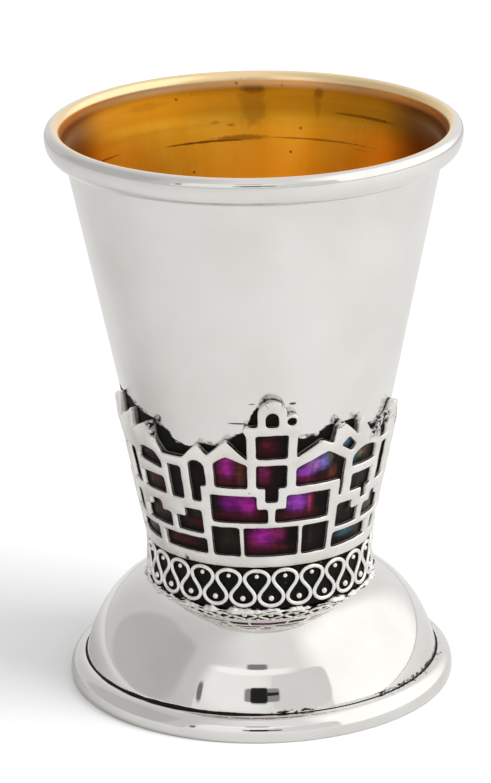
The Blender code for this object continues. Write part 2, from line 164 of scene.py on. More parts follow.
def give_values(piece, name, values):
    """Stores one number for each point of a mesh, for a material to read."""
    layer = piece.data.attributes.new(name, "FLOAT", "POINT")
    layer.data.foreach_set("value", np.asarray(values, np.float32))


def turned(outline, steps, closed=False):
    """Sweeps (radius, z) points round the axis; returns the mesh's points, faces and rings."""
    verts, rings = [], []
    for radius, z in outline:
        first = len(verts)
        if radius < POLE:
            verts.append((0.0, 0.0, z))
            rings.append([first])
        else:
            verts += [on_round(radius, math.tau * k / steps, z) for k in range(steps)]
            rings.append(list(range(first, first + steps)))
    pairs = list(zip(rings, rings[1:]))
    if closed:
        pairs.append((rings[-1], rings[0]))
    faces = []
    for low, high in pairs:
        for k in range(steps):
            ahead = (k + 1) % steps
            corners = [low[k % len(low)], low[ahead % len(low)],
                       high[ahead % len(high)], high[k % len(high)]]
            faces.append(list(dict.fromkeys(corners)))
    return verts, faces, rings


def arc(centre, radii, start, end, steps, power=2.0):
    """Points on an ellipse; a power above 2 makes it squarer."""
    points = []
    for step in range(steps + 1):
        angle = math.radians(start + (end - start) * step / steps)
        across = math.copysign(abs(math.cos(angle)) ** (2 / power), math.cos(angle))
        upward = math.copysign(abs(math.sin(angle)) ** (2 / power), math.sin(angle))
        points.append((centre[0] + radii[0] * across, centre[1] + radii[1] * upward))
    return points


def curve(start, corner, end, steps):
    """Points of a quadratic curve, without its first one."""
    points = []
    for step in range(1, steps + 1):
        t = step / steps
        points.append(tuple(start[i] * (1 - t) ** 2 + corner[i] * 2 * t * (1 - t) + end[i] * t * t
                            for i in (0, 1)))
    return points


# %% [markdown]
# ## The bowl
# The bowl is one outline: up the outside, over the rolled rim and down the gilt inside. The rim
# is a fat bead whose underside is fuller than a circle, so a squarer curve draws it. Two values
# are stored on the points: how far each lies past the crest of the rim, which is where the
# gilding ends, and how deep it lies in the blackened ground behind the town.

# %% The bowl's outline
BOWL_STEPS = 360
BASE_FILLET = 2.5 * MM
GROUND_ROW = 0.35 * MM          # rows where the blackened ground needs fine points
WALL_ROW = 3.0 * MM
ground_reach = band_foot + 31 * MM      # above this the wall is bare, and needs few rows


def straight(z_from, z_to, spacing, offset=0.0):
    """Points up or down the wall."""
    count = max(1, round(abs(z_to - z_from) / spacing))
    levels = [z_from + (z_to - z_from) * k / count for k in range(1, count + 1)]
    return [(wall_radius(z) + offset, z) for z in levels]


def bowl_outline():
    """The closed half-section, and the index of the rim's crest in it."""
    fillet_z = bowl_foot + BASE_FILLET
    outline = [(0.0, bowl_foot)]
    outline += arc((wall_radius(fillet_z) - BASE_FILLET, fillet_z), (BASE_FILLET, BASE_FILLET),
                   -90, 0, 6)
    outline += straight(fillet_z, ground_reach, GROUND_ROW)
    outline += straight(ground_reach, wall_top, WALL_ROW)
    outline += arc((wall_top_radius, widest_rim), (ROLL_OVERHANG, ROLL_SKIRT), -82, 0, 16,
                   ROLL_SQUARENESS)[:-1]
    crown = arc((rim_radius - ROLL_WIDTH / 2, widest_rim), (ROLL_WIDTH / 2, ROLL_CROWN), 0, 180, 20)
    crest = len(outline) + len(crown) // 2
    outline += crown
    lip = outline[-1]
    lip_foot = (wall_top_radius - SHEET + 0.12 * MM, wall_top + 0.5 * MM)
    outline += curve(lip, (lip[0] - 0.15 * MM, lip_foot[1] + 0.6 * MM), lip_foot, 6)
    outline += straight(wall_top, bowl_foot + SHEET + BASE_FILLET, WALL_ROW, -SHEET)
    floor = bowl_foot + SHEET
    inner_z = floor + BASE_FILLET
    outline += arc((wall_radius(inner_z) - SHEET - BASE_FILLET, inner_z),
                   (BASE_FILLET, BASE_FILLET), 0, -90, 6)[1:]
    outline.append((0.0, floor))
    return outline, crest


# %% [markdown]
# The blackened ground fills the valleys between the roofs. Its upper edge is given by a few
# points round the front half, as degrees from the tower and millimetres above the band's foot,
# and the back half is the mirror image, as on the solids.

# %% Upper edge of the blackened ground
GROUND_EDGE = ((-90.0, 24.4), (-79.0, 24.6), (-70.4, 24.4), (-64.2, 23.6), (-57.0, 22.9), (-51.6, 22.2),
               (-46.0, 21.4), (-43.0, 19.7), (-36.0, 19.4), (-30.0, 20.4), (-22.4, 20.5), (-17.8, 21.4),
               (-9.9, 22.9), (-8.6, 25.2), (-6.0, 26.6), (0.0, 27.4), (5.2, 26.4), (7.0, 25.6),
               (9.4, 24.6), (10.6, 21.4), (20.1, 21.4), (20.8, 22.0), (25.8, 22.9), (29.0, 22.2),
               (32.0, 22.5), (37.7, 22.8), (40.0, 23.0), (43.0, 22.7), (46.0, 21.0), (51.0, 20.6),
               (55.0, 20.3), (61.0, 21.7), (65.0, 22.9), (69.0, 22.6), (72.0, 21.0), (80.0, 19.6),
               (90.0, 19.7))
HALF_TURN = 180.0
QUARTER_TURN = 90.0


def folded(degrees):
    """The front angle that looks like this one: the back half mirrors the front half."""
    degrees = (degrees + HALF_TURN) % (2 * HALF_TURN) - HALF_TURN
    if degrees > QUARTER_TURN:
        return HALF_TURN - degrees
    if degrees < -QUARTER_TURN:
        return -HALF_TURN - degrees
    return degrees


def ground_depth(point):
    """Millimetres that a point of the wall lies under the upper edge of the blackened ground."""
    angle = folded(math.degrees(math.atan2(point[0], -point[1])))
    edge = np.interp(angle, [a for a, _ in GROUND_EDGE], [z for _, z in GROUND_EDGE])
    return edge - (point[2] - band_foot) / MM


# %% Bowl
def make_bowl():
    outline, crest = bowl_outline()
    verts, faces, rings = turned(outline, BOWL_STEPS)
    bowl = new_piece("bowl", verts, faces)
    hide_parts("beaker")
    lengths = np.cumsum([0.0] + [math.dist(a, b) for a, b in zip(outline, outline[1:])]) / MM
    gilding = np.zeros(len(verts))
    depth = np.full(len(verts), -9.0)
    for index, ring in enumerate(rings):
        gilding[ring] = lengths[index] - lengths[crest]
        if index < crest and outline[index][1] < ground_reach:
            depth[ring] = [ground_depth(verts[i]) for i in ring]
    give_values(bowl, "gilding", gilding)
    give_values(bowl, "ground_depth", depth)
    print(f"bowl: {len(faces)} faces")
    return bowl


bowl = make_bowl()

# %% [markdown]
# ## The foot
# The dome leaves the ring almost upright and runs in under the collar nearly flat, so one
# quadratic curve with two set slopes draws it. The ring is a quarter ellipse, flat below.

# %% Dome and standing ring
FOOT_STEPS = 300
DOME_FOOT_LEAN = 0.27
DOME_TOP_RISE = 0.36
RING_WIDTH = 2.2 * MM
RING_EDGE = 1.0 * MM
RING_UNDERCUT = 0.25 * MM
DOME_SEAT = 0.3 * MM            # how far above the ring the dome's curve starts
DOME_FLAT = 12 * MM             # radius of the flat top under the bowl
DOME_ROWS = 72
DOME_INNER_ROWS = 24
collar_reach = 17.27 * MM
dome_foot = (dome_radius, ring_top + DOME_SEAT)


def dome_line(offset, steps):
    """The dome's curve from the ring to the collar, moved inwards by an offset."""
    top = (collar_reach, dome_top)
    span_r = dome_foot[0] - top[0]
    span_z = top[1] - dome_foot[1]
    rise = (span_z - DOME_TOP_RISE * span_r) / (1 - DOME_TOP_RISE * DOME_FOOT_LEAN)
    corner = (dome_foot[0] - DOME_FOOT_LEAN * rise, dome_foot[1] + rise)
    line = [dome_foot] + curve(dome_foot, corner, top, steps)
    moved = []
    for index, (r, z) in enumerate(line):
        before, after = line[max(index - 1, 0)], line[min(index + 1, steps)]
        length = math.dist(before, after)
        moved.append((r - offset * (after[1] - before[1]) / length,
                      z + offset * (after[0] - before[0]) / length))
    return moved


def make_dome():
    outer = dome_line(0.0, DOME_ROWS)
    inner = dome_line(SHEET, DOME_INNER_ROWS)
    outline = [(dome_radius - SHEET, 0.0), (dome_radius, 0.0)] + outer
    outline += [(DOME_FLAT, dome_top), (0.0, dome_top), (0.0, dome_top - SHEET)]
    outline += [(inner[-1][0], dome_top - SHEET)] + inner[-2:0:-1]
    outline.append((dome_radius - SHEET, dome_foot[1]))
    verts, faces, _ = turned(outline, FOOT_STEPS, closed=True)
    faces = [face for face in faces if len(face) > 2]
    dome = new_piece("dome", verts, faces)
    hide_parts("foot_dome")
    print(f"dome: {len(faces)} faces")
    return dome


def make_ring():
    inner = ring_radius - RING_WIDTH
    outline = [(inner, 0.0), (ring_radius - RING_UNDERCUT, 0.0)]
    outline += arc((ring_radius - RING_UNDERCUT, RING_EDGE), (RING_UNDERCUT, RING_EDGE), -60, -5, 5)
    outline += arc((inner, RING_EDGE), (RING_WIDTH, ring_top - RING_EDGE), 0, 90, 24)
    verts, faces, _ = turned(outline, FOOT_STEPS, closed=True)
    ring = new_piece("standing_ring", verts, faces)
    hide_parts("foot_ring")
    print(f"standing ring: {len(faces)} faces")
    return ring


dome = make_dome()
ring = make_ring()

# %% [markdown]
# ## Solder
# Hand-made joints leave a line of solder. Between ring and dome it has gone black, and it is
# thick on one side and broken on the other. Under the collar it is a rough silver fillet. Both
# are one helper: a half-round bead whose width and height wander with noise.

# %% Solder beads
SOLDER_STEPS = 900
SOLDER_SIDES = 8


def solder_bead(name, radius, z, width, height, wander, seed, swell=None):
    """A half-round bead round the cup; `swell` scales it by the angle in degrees."""
    verts, faces = [], []
    for k in range(SOLDER_STEPS):
        angle = math.tau * k / SOLDER_STEPS
        spot = Vector((math.cos(angle) * 7.0, math.sin(angle) * 7.0, seed))
        rough = noise.noise(spot) + 0.8 * noise.noise(spot * 2.3) + 0.25 * noise.noise(spot * 4.7)
        scale = max(0.12, 1.0 + wander * rough)
        if swell is not None:
            scale *= swell(math.degrees(angle))
        for side in range(SOLDER_SIDES + 1):
            lift = math.pi * side / SOLDER_SIDES
            verts.append(on_round(radius + width * scale * math.cos(lift), angle,
                                  z + height * scale * math.sin(lift)))
    row = SOLDER_SIDES + 1
    for k in range(SOLDER_STEPS):
        low, high = k * row, ((k + 1) % SOLDER_STEPS) * row
        for side in range(SOLDER_SIDES):
            faces.append([low + side, high + side, high + side + 1, low + side + 1])
        faces.append([low + SOLDER_SIDES, high + SOLDER_SIDES, high, low])
    return new_piece(name, verts, faces)


JOINT_THICKEST = -34.0          # degrees from the tower
JOINT_SPREAD = 34.0
JOINT_THIN = 0.45
JOINT_SWELL = 1.1


def joint_swell(degrees):
    """The joint is widest on the left front, and thins out to a line at both sides."""
    away = (degrees - JOINT_THICKEST + HALF_TURN) % (2 * HALF_TURN) - HALF_TURN
    return JOINT_THIN + JOINT_SWELL * math.exp(-(away / JOINT_SPREAD) ** 2)


joint_solder = solder_bead("joint_solder", dome_radius + 0.1 * MM, ring_top - 0.12 * MM,
                           width=0.32 * MM, height=0.3 * MM, wander=0.2, seed=3.7, swell=joint_swell)
collar_solder = solder_bead("collar_solder", collar_reach - 0.25 * MM, dome_top - 0.15 * MM,
                            width=0.55 * MM, height=0.6 * MM, wander=0.9, seed=8.1)
print("solder:", joint_solder.name, collar_solder.name)

# %% [markdown]
# ## The filigree collar
# A round wire runs up and down in a serpentine that swings back under each loop, so the loops
# bulge like drops, and a small granule sits in each. The ground behind is black. The wire could
# be a bevelled curve; a tube built ring by ring keeps its flat side to the ground all the way.

# %% Collar: ground, wire and granules
WIRE_LOOPS = 25
WIRE_STEPS = 48
WIRE_SIDES = 8
WIRE_RADIUS = 0.35 * MM
WIRE_SWING = 0.29
WIRE_LOW = 16.6 * MM
WIRE_HIGH = 22.92 * MM
WIRE_ROUNDNESS = 0.06           # share of a third wave, which makes the loops rounder
WIRE_START = -7.2               # degrees from the tower to the first upper loop
WIRE_LIFT = 0.24 * MM           # from the ground to the wire's middle
WIRE_WANDER = 0.07 * MM
GRANULES = ((0.4 * MM, 21.6 * MM), (0.5 * MM, 18.1 * MM))   # radius and level, upper and lower
GRANULE_LIFT = 0.12 * MM
GRANULE_WANDER = 0.06 * MM
COLLAR_SHEET = 0.55 * MM
COLLAR_ROWS = 12
collar_ground = 16.72 * MM
pitch = math.tau / WIRE_LOOPS


def wire_centre(t):
    """The wire's centre line; t counts loops."""
    across = pitch * (t + WIRE_SWING * math.sin(2 * math.tau * t)) + math.radians(WIRE_START)
    middle = (WIRE_LOW + WIRE_HIGH) / 2
    reach = (WIRE_HIGH - WIRE_LOW) / 2 - WIRE_RADIUS
    wave = math.cos(math.tau * t) + WIRE_ROUNDNESS * math.cos(3 * math.tau * t)
    hand = WIRE_WANDER * noise.noise(Vector((t * 1.7, 0.0, 4.0)))
    lift = reach * wave / (1 + WIRE_ROUNDNESS) + hand
    return Vector(on_round(collar_ground + WIRE_LIFT, across, middle + lift))


def make_wire():
    verts, faces = [], []
    total = WIRE_LOOPS * WIRE_STEPS
    for k in range(total):
        here = wire_centre(k / WIRE_STEPS)
        along = (wire_centre((k + 1) / WIRE_STEPS) - wire_centre((k - 1) / WIRE_STEPS)).normalized()
        out = Vector((here.x, here.y, 0.0)).normalized()
        side = along.cross(out).normalized()
        for s in range(WIRE_SIDES):
            turn = math.tau * s / WIRE_SIDES
            verts.append(here + (out * math.cos(turn) + side * math.sin(turn)) * WIRE_RADIUS)
        low, high = k * WIRE_SIDES, ((k + 1) % total) * WIRE_SIDES
        for s in range(WIRE_SIDES):
            ahead = (s + 1) % WIRE_SIDES
            faces.append([low + s, low + ahead, high + ahead, high + s])
    return new_piece("collar_wire", verts, faces, sharp=80.0)


def make_granules():
    """One small ball in each loop, built as rings between two poles."""
    verts, faces = [], []
    rows, meridians = 8, 14
    for loop in range(2 * WIRE_LOOPS):
        angle = pitch * loop / 2 + math.radians(WIRE_START)
        wobble = GRANULE_WANDER * noise.noise(Vector((loop * 2.3, 1.0, 0.0)))
        size, level = GRANULES[loop % 2]
        centre = Vector(on_round(collar_ground + GRANULE_LIFT, angle, level + wobble))
        outline = arc((0.0, 0.0), (size, size), -90, 90, rows)
        ball, ball_faces, _ = turned([(max(r, 0.0), z) for r, z in outline], meridians)
        faces += [[len(verts) + i for i in face] for face in ball_faces]
        verts += [centre + Vector(point) for point in ball]
    return new_piece("granules", verts, faces, sharp=80.0)


def make_collar_ground():
    outline = [(collar_ground - COLLAR_SHEET, collar_foot), (collar_ground, collar_foot)]
    outline += [(collar_ground, collar_foot + (collar_top - collar_foot) * k / COLLAR_ROWS)
                for k in range(1, COLLAR_ROWS + 1)]
    outline.append((collar_ground - COLLAR_SHEET, collar_top))
    verts, faces, _ = turned(outline, FOOT_STEPS, closed=True)
    return new_piece("collar_ground", verts, faces)


collar_base = make_collar_ground()
wire = make_wire()
granules = make_granules()
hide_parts("filigree_collar")
print(f"collar: {WIRE_LOOPS} loops of wire and {2 * WIRE_LOOPS} granules")

# %% [markdown]
# ## The town
# The band is a casting, pierced like a fretwork. Its pattern is drawn flat, in degrees round the
# cup and millimetres above the band's foot, with the same levels as the solid. Each opening is
# a loop of corners. The lower courses are alike on both sides of the tower; the houses differ.

# %% Levels of the pattern
BORDER = 1.95
LOW_STONE = 2.45
HIGH_STONE = 4.8
BAR = 0.92
WIDE_BAR = 1.4
STEP_RISE = 1.5
MIDDLE_STONE = 4.5
NOTCH = 2.3
SLOT_LIFT = 1.3
SLOT_SILL = 1.2
HOUSE_SILL = 1.6
WINDOW = 3.0
ARCH = 2.9
GABLE = 2.2
TOWER_WINDOW = 3.75
TOWER_BAR = 1.15
TOWER_LIGHT = 3.85
CORNICE = 1.5
TOWER_DOME = 4.25
low_top = BORDER + LOW_STONE
second_floor = low_top + BAR
high_top = BORDER + HIGH_STONE
shelf = high_top + BAR
step_top = shelf + STEP_RISE
stone_top = shelf + MIDDLE_STONE
house_floor = step_top + HOUSE_SILL
window_foot = stone_top + WIDE_BAR
arch_foot = window_foot + WIDE_BAR
arch_top = arch_foot + ARCH
eaves = window_foot + WINDOW
gable_top = eaves + GABLE
tower_slot = shelf + NOTCH + SLOT_SILL
tower_floor = window_foot + TOWER_WINDOW
tower_sill = tower_floor + TOWER_BAR
cornice_foot = tower_sill + TOWER_LIGHT
cornice_top = cornice_foot + CORNICE
tower_top = cornice_top + TOWER_DOME
print(f"the tower is {tower_top:.1f} mm tall, the eaves are at {eaves:.1f} mm")


# %% Openings of the pattern
def block(left, right, low, high):
    """A square-cornered opening."""
    return [(left, low), (right, low), (right, high), (left, high)]


def arched(left, right, low, spring, high, steps=8):
    """An opening with upright sides up to `spring` and a round head up to `high`."""
    middle, half = (left + right) / 2, (right - left) / 2
    return [(left, low), (right, low)] + arc((middle, spring), (half, high - spring), 0, 180, steps)


def mirrored(loops):
    """The loops on the tower's other side."""
    return [[(-angle, z) for angle, z in reversed(loop)] for loop in loops]


def behind(loops):
    """The loops on the cup's back."""
    return [[(HALF_TURN - angle, z) for angle, z in reversed(loop)] for loop in loops]


def courses():
    """The stones of the lower courses, right of the tower."""
    notch = shelf + NOTCH
    return [
        block(14.8, 28.3, BORDER, high_top),
        block(31.3, 57.4, BORDER, low_top),
        block(61.5, 88.0, BORDER, low_top),
        [(1.7, shelf), (27.3, shelf), (27.3, stone_top), (6.6, stone_top), (6.6, notch), (1.7, notch)],
        [(32.2, second_floor), (46.6, second_floor), (46.6, shelf), (41.1, shelf), (41.1, step_top),
         (32.2, step_top)],
        [(49.9, second_floor), (69.3, second_floor), (69.3, shelf), (63.9, shelf), (63.9, step_top),
         (55.3, step_top), (55.3, shelf), (49.9, shelf)],
        block(72.6, 88.0, second_floor, step_top),
    ]


def tower():
    """A wide stone, the notched door, the window, the light in the dome and the turret's hole."""
    return [
        block(-12.8, 12.8, BORDER, high_top),
        [(-6.4, window_foot), (-2.7, window_foot), (-2.7, tower_slot), (2.7, tower_slot),
         (2.7, window_foot), (6.4, window_foot), (6.4, tower_floor), (-6.4, tower_floor)],
        block(-6.4, 6.4, tower_sill, cornice_foot),
        arched(-2.4, 2.4, cornice_top, cornice_top + 1.15, cornice_top + 2.3),
        arc((7.7, cornice_top + 0.75), (1.75, 0.62), 0, 330, 11),
    ]


def right_houses():
    """A gable with a leg, a diamond, a slotted window, an arch, a slit and a small light."""
    slot_foot = shelf + SLOT_LIFT
    return [
        [(10.4, window_foot), (31.9, window_foot), (31.9, house_floor), (33.8, house_floor),
         (33.9, eaves), (23.9, gable_top), (10.4, eaves)],
        [(30.4, eaves + 2.7), (35.9, eaves + 1.3), (38.6, eaves + 2.2), (33.6, eaves + 3.8)],
        [(38.5, house_floor), (46.4, house_floor), (46.4, slot_foot), (51.0, slot_foot),
         (51.0, house_floor), (53.6, house_floor), (53.6, window_foot), (38.5, window_foot)],
        arched(37.6, 53.6, arch_foot, arch_foot + 1.3, arch_top),
        block(57.4, 67.4, house_floor, eaves + 0.3),
        [(55.2, eaves + 1.4), (62.0, eaves + 1.3), (61.4, eaves + 3.2), (58.6, eaves + 3.0)],
    ]


def left_houses():
    """A gable, a keyhole, a tall window and a lean-to over a low window."""
    return [
        [(-24.5, window_foot), (-10.4, window_foot), (-10.4, eaves + 0.85), (-19.2, gable_top),
         (-24.5, eaves + 0.85)],
        [(-36.1, house_floor), (-31.4, house_floor), (-31.4, window_foot), (-28.6, window_foot)]
        + arc((-32.35, eaves), (3.75, GABLE / 2), 0, 180, 8),
        block(-47.3, -40.2, house_floor, eaves - 0.4),
        block(-66.3, -50.4, house_floor, window_foot),
        [(-66.3, arch_foot + 0.6), (-50.6, arch_foot), (-50.4, eaves - 0.4), (-53.6, arch_top - 0.4),
         (-59.5, arch_top), (-64.2, arch_top - 0.4)],
    ]


def halls():
    """The side halls: slits beside an arch, which is tall on the left and low on the right."""
    slits = [block(71.0, 79.0, house_floor, eaves), block(-78.0, -68.5, house_floor, eaves)]
    tall = arched(-97.5, -82.5, house_floor, eaves, eaves + 3.2, 12)
    low = arched(82.5, 97.5, house_floor, eaves - 1.6, eaves + 0.4, 12)
    return slits + behind(slits) + [tall, low]


def all_openings():
    lower = courses()
    front = lower + mirrored(lower) + tower() + right_houses() + left_houses()
    return front + behind(front) + halls()


print(len(all_openings()), "openings")

# %% [markdown]
# The outline of the roofs runs from one side hall over the tower to the other. The tower has a
# dome with a light in it, a cornice with flared ends, and a small pierced turret on its right.
# Roofs are corners in degrees from the tower and millimetres above the eaves. The back mirrors
# the front, but for the left hall, whose back half stays low.

# %% Outline of the roofs
ROOFS_RIGHT = ((21.2, 4.2), (26.4, 3.3), (27.3, 6.0), (29.4, 6.8), (38.8, 3.7), (38.2, 6.0),
               (39.8, 6.5), (46.5, 3.6), (50.5, 3.0), (53.5, 2.8), (57.5, 4.2), (62.0, 4.8), (64.5, 6.2),
               (68.6, 6.0), (71.0, 3.6), (79.0, 2.1), (90.0, 2.5))
ROOFS_LEFT = ((-90.0, 3.4), (-85.0, 4.2), (-79.8, 7.4), (-75.2, 8.4), (-77.6, 4.3), (-66.4, 6.4),
              (-64.8, 7.0), (-66.6, 3.6), (-54.6, 5.9), (-52.8, 5.7), (-53.2, 3.2), (-49.4, 1.2),
              (-38.7, 1.3), (-31.6, 3.8), (-27.2, 2.2), (-18.7, 4.9))
LOW_HALL = 3.4                  # mm above the eaves, for the left hall's half behind the silhouette
LOW_HALL_END = -120.0           # degrees from the tower, where that half ends


def half_dome(middle, half, low, spring, high):
    """The left half of a dome's outline, from its foot to its crown."""
    return [(middle - half, low)] + arc((middle, spring), (half, high - spring), 180, 90, 10)


def front_outline():
    crown = half_dome(0.0, 5.7, cornice_top, cornice_top + 2.0, tower_top)
    side = [(11.2, cornice_top), (11.6, cornice_foot + 0.9), (10.3, cornice_foot), (10.3, eaves + 1.8)]
    turret = [(5.7, cornice_top + 1.5)] + arc((7.7, cornice_top + 0.75), (3.1, 1.2), 120, 0, 8)
    right = mirrored([crown])[0][:-1] + turret + side
    right += [(angle, eaves + z) for angle, z in ROOFS_RIGHT]
    left = [(angle, eaves + z) for angle, z in ROOFS_LEFT] + mirrored([side])[0] + crown
    return left[:-1] + right


def roof_line():
    """The whole upper edge, from the hall that faces +X round the back and the front to it again."""
    front = front_outline()
    back = [(-HALF_TURN - angle, z) for angle, z in reversed(front)]
    back = [(angle, min(z, eaves + LOW_HALL) if angle > LOW_HALL_END else z) for angle, z in back]
    return back[:-1] + front


print(len(roof_line()), "corners in the line of the roofs")

# %% [markdown]
# Cast work has no hard corners. Each loop gets rounded corners, points close together and a
# slight wander, as if it had been sawn by hand. All this is done flat, in millimetres, at the
# scale of the wall's middle height.

# %% Softening the loops
FLAT_RADIUS = 19.5              # the wall's radius where the pattern is true to scale, mm
CORNER = 0.42
CORNER_SHARE = 0.45             # a rounded corner takes at most this share of a side
POINT_SPACING = 0.32
WANDER = 0.07
WANDER_WAVES = 14.0             # how lively the wander is round the cup
SEAM = -3 * QUARTER_TURN        # where the flat pattern starts


def to_flat(loop):
    """Degrees and mm to flat mm."""
    return [Vector((math.radians(angle) * FLAT_RADIUS, z)) for angle, z in loop]


def spaced(start, end):
    """Close points from start to end, without the two themselves."""
    count = int((end - start).length / POINT_SPACING)
    return [start.lerp(end, k / (count + 1)) for k in range(1, count + 1)]


def softened(loop):
    """A closed loop of flat points with rounded corners and close points."""
    points = []
    for index, here in enumerate(loop):
        before, after = loop[index - 1], loop[(index + 1) % len(loop)]
        reach = min(CORNER, CORNER_SHARE * (before - here).length)
        start = here + (before - here).normalized() * reach
        reach = min(CORNER, CORNER_SHARE * (after - here).length)
        end = here + (after - here).normalized() * reach
        points += [start] + [Vector(p) for p in curve(start, here, end, 4)]
        points += spaced(end, after + (here - after).normalized() * reach)
    return points


def wandering(points):
    """Moves points a little, by noise; points on the pattern's own ends stay."""
    left = math.radians(SEAM) * FLAT_RADIUS
    right = left + math.tau * FLAT_RADIUS
    moved = []
    for p in points:
        hold = min(1.0, abs(p.x - left), abs(p.x - right))
        spot = Vector((math.cos(p.x / FLAT_RADIUS), math.sin(p.x / FLAT_RADIUS), 0.0)) * WANDER_WAVES
        spot.z = p.y * 0.6
        drift = Vector((noise.noise(spot), noise.noise(spot + Vector((31.0, 7.0, 3.0)))))
        moved.append(p + drift * WANDER * hold)
    return moved


def offset_loop(loop, distance):
    """A counter-clockwise loop moved outwards, or inwards by a distance below 0."""
    moved = []
    for index, p in enumerate(loop):
        along = (loop[(index + 1) % len(loop)] - loop[index - 1]).normalized()
        moved.append(p + Vector((along.y, -along.x)) * distance)
    return moved


def shifted(loops):
    """Copies of the loops a turn to each side, where they still meet the pattern."""
    turn = math.tau * FLAT_RADIUS
    left = math.radians(SEAM) * FLAT_RADIUS
    kept = []
    for loop in loops:
        for move in (-turn, 0.0, turn):
            copy = [p + Vector((move, 0.0)) for p in loop]
            if max(p.x for p in copy) > left and min(p.x for p in copy) < left + turn:
                kept.append(copy)
    return kept


def town_outline():
    """The band's closed outline: its foot, the two ends at the seam, and the softened roofs."""
    roofs = to_flat(roof_line())
    left, right = roofs[0], roofs[-1]
    foot_left, foot_right = Vector((left.x, 0.0)), Vector((right.x, 0.0))
    soft = softened([foot_left, foot_right] + roofs[::-1])
    upper = [p for p in soft if left.x + CORNER < p.x < right.x - CORNER and p.y > CORNER]
    foot = [foot_left] + spaced(foot_left, foot_right) + [foot_right]
    return foot + [right] + wandering(upper) + [left]


openings = shifted([wandering(softened(to_flat(loop))) for loop in all_openings()])
outline = town_outline()
print(sum(len(loop) for loop in openings), "points round the openings")

# %% [markdown]
# A flat pattern becomes a mesh by triangulation: the loops go in as fixed edges, and the
# triangles whose middle lies in the metal stay. The casting's edges are rounded, so the loops
# are repeated a little further into the metal, and every point is then raised by a rule that
# only knows how far it is from the nearest edge.

# %% Helpers for the flat pattern
TOUCH = 1e-4                    # mm, points nearer than this are one


def inside(points, loop):
    """For each row of an (n, 2) array, whether it lies in a closed loop."""
    hit = np.zeros(len(points), bool)
    for a, b in zip(loop, loop[1:] + loop[:1]):
        crosses = (a.y > points[:, 1]) != (b.y > points[:, 1])
        rise = b.y - a.y if b.y != a.y else 1.0
        hit ^= crosses & (points[:, 0] < a.x + (points[:, 1] - a.y) * (b.x - a.x) / rise)
    return hit


def inside_any(points, loops):
    """Whether each row lies in one of the loops; a box test first keeps it quick."""
    hit = np.zeros(len(points), bool)
    for loop in loops:
        low = np.array([min(p.x for p in loop), min(p.y for p in loop)])
        high = np.array([max(p.x for p in loop), max(p.y for p in loop)])
        near = np.all((points >= low) & (points <= high), axis=1)
        hit[near] |= inside(points[near], loop)
    return hit


def sides(loops):
    """The edges of closed loops, as pairs of points."""
    return [side for loop in loops for side in zip(loop, loop[1:] + loop[:1])]


def edge_distance(points, edges, reach):
    """Distance from each point to the nearest edge, at most `reach`."""
    best = np.full(len(points), reach)
    for a, b in edges:
        offset = np.abs(points - np.array((a + b) / 2))
        near = np.flatnonzero(np.all(offset < reach + (b - a).length, axis=1))
        if not len(near):
            continue
        start, along = np.array(a), np.array(b - a)
        rel = points[near] - start
        t = np.clip(rel @ along / max(along @ along, 1e-12), 0.0, 1.0)
        best[near] = np.minimum(best[near], np.linalg.norm(rel - t[:, None] * along, axis=1))
    return best


def triangulated(loops, extra, keep):
    """Points and triangles of a flat pattern; `keep` picks triangles by their middles."""
    verts, edges = [], []
    for loop in loops:
        first = len(verts)
        verts += loop
        edges += [(first + k, first + (k + 1) % len(loop)) for k in range(len(loop))]
    verts += extra
    out, _, faces, _, _, _ = delaunay_2d_cdt(verts, edges, [], 0, TOUCH)
    points = np.array([(p.x, p.y) for p in out])
    faces = np.array([face for face in faces if len(face) == 3])
    faces = faces[keep(points[faces].mean(axis=1))]
    used, faces = np.unique(faces, return_inverse=True)
    return points[used], faces.reshape(-1, 3)


def wrapped_slab(name, points, faces, heights, foot, sharp):
    """Wraps a flat mesh round the wall as a closed slab; heights and foot are mm off the wall."""
    angles = points[:, 0] / FLAT_RADIUS
    levels = band_foot + points[:, 1] * MM
    walls = np.array([wall_radius(z) for z in levels])

    def ring(offset):
        radius = walls + offset * MM
        return np.stack([radius * np.sin(angles), -radius * np.cos(angles), levels], axis=1)

    verts = np.concatenate([ring(heights), ring(np.full(len(points), foot))])
    count = len(points)
    pairs = {}
    for face in faces:
        for k in range(3):
            pairs[(face[k], face[(k + 1) % 3])] = True
    walls_between = [(b, a, a + count, b + count) for a, b in pairs if (b, a) not in pairs]
    both = [tuple(face) for face in faces] + [tuple(face[::-1] + count) for face in faces]
    every = [[int(i) for i in face] for face in both + walls_between]
    piece = new_piece(name, verts.tolist(), every, sharp)
    return piece, np.arange(2 * count) < count


# %% [markdown]
# ## The band
# The face of the casting stands about 1.4 mm off the wall. Its edges fall away over a third of a
# millimetre, the surface is a little uneven, and a few places are rough or sunk, where the
# casting or the solder didn't run clean. One value on each point says how deep it lies, and
# another how rough it is; the material turns them into black and grit.

# %% Town band
FACE_LIFT = 1.38                # mm from the wall to the band's face
EDGE_ROUND = 0.3                # how far from an edge the face starts to fall
EDGE_DROP = 0.26
EDGE_RINGS = (0.09, 0.24)       # where extra loops are laid to carry the rounding
OUTER_DEPTH = 0.4               # the outer walls of the town are less black than its openings
BAND_BACK = 0.02                # the casting's back, just off the wall
UNEVEN_FACE = 0.05
CRUST_HEIGHT = 0.24
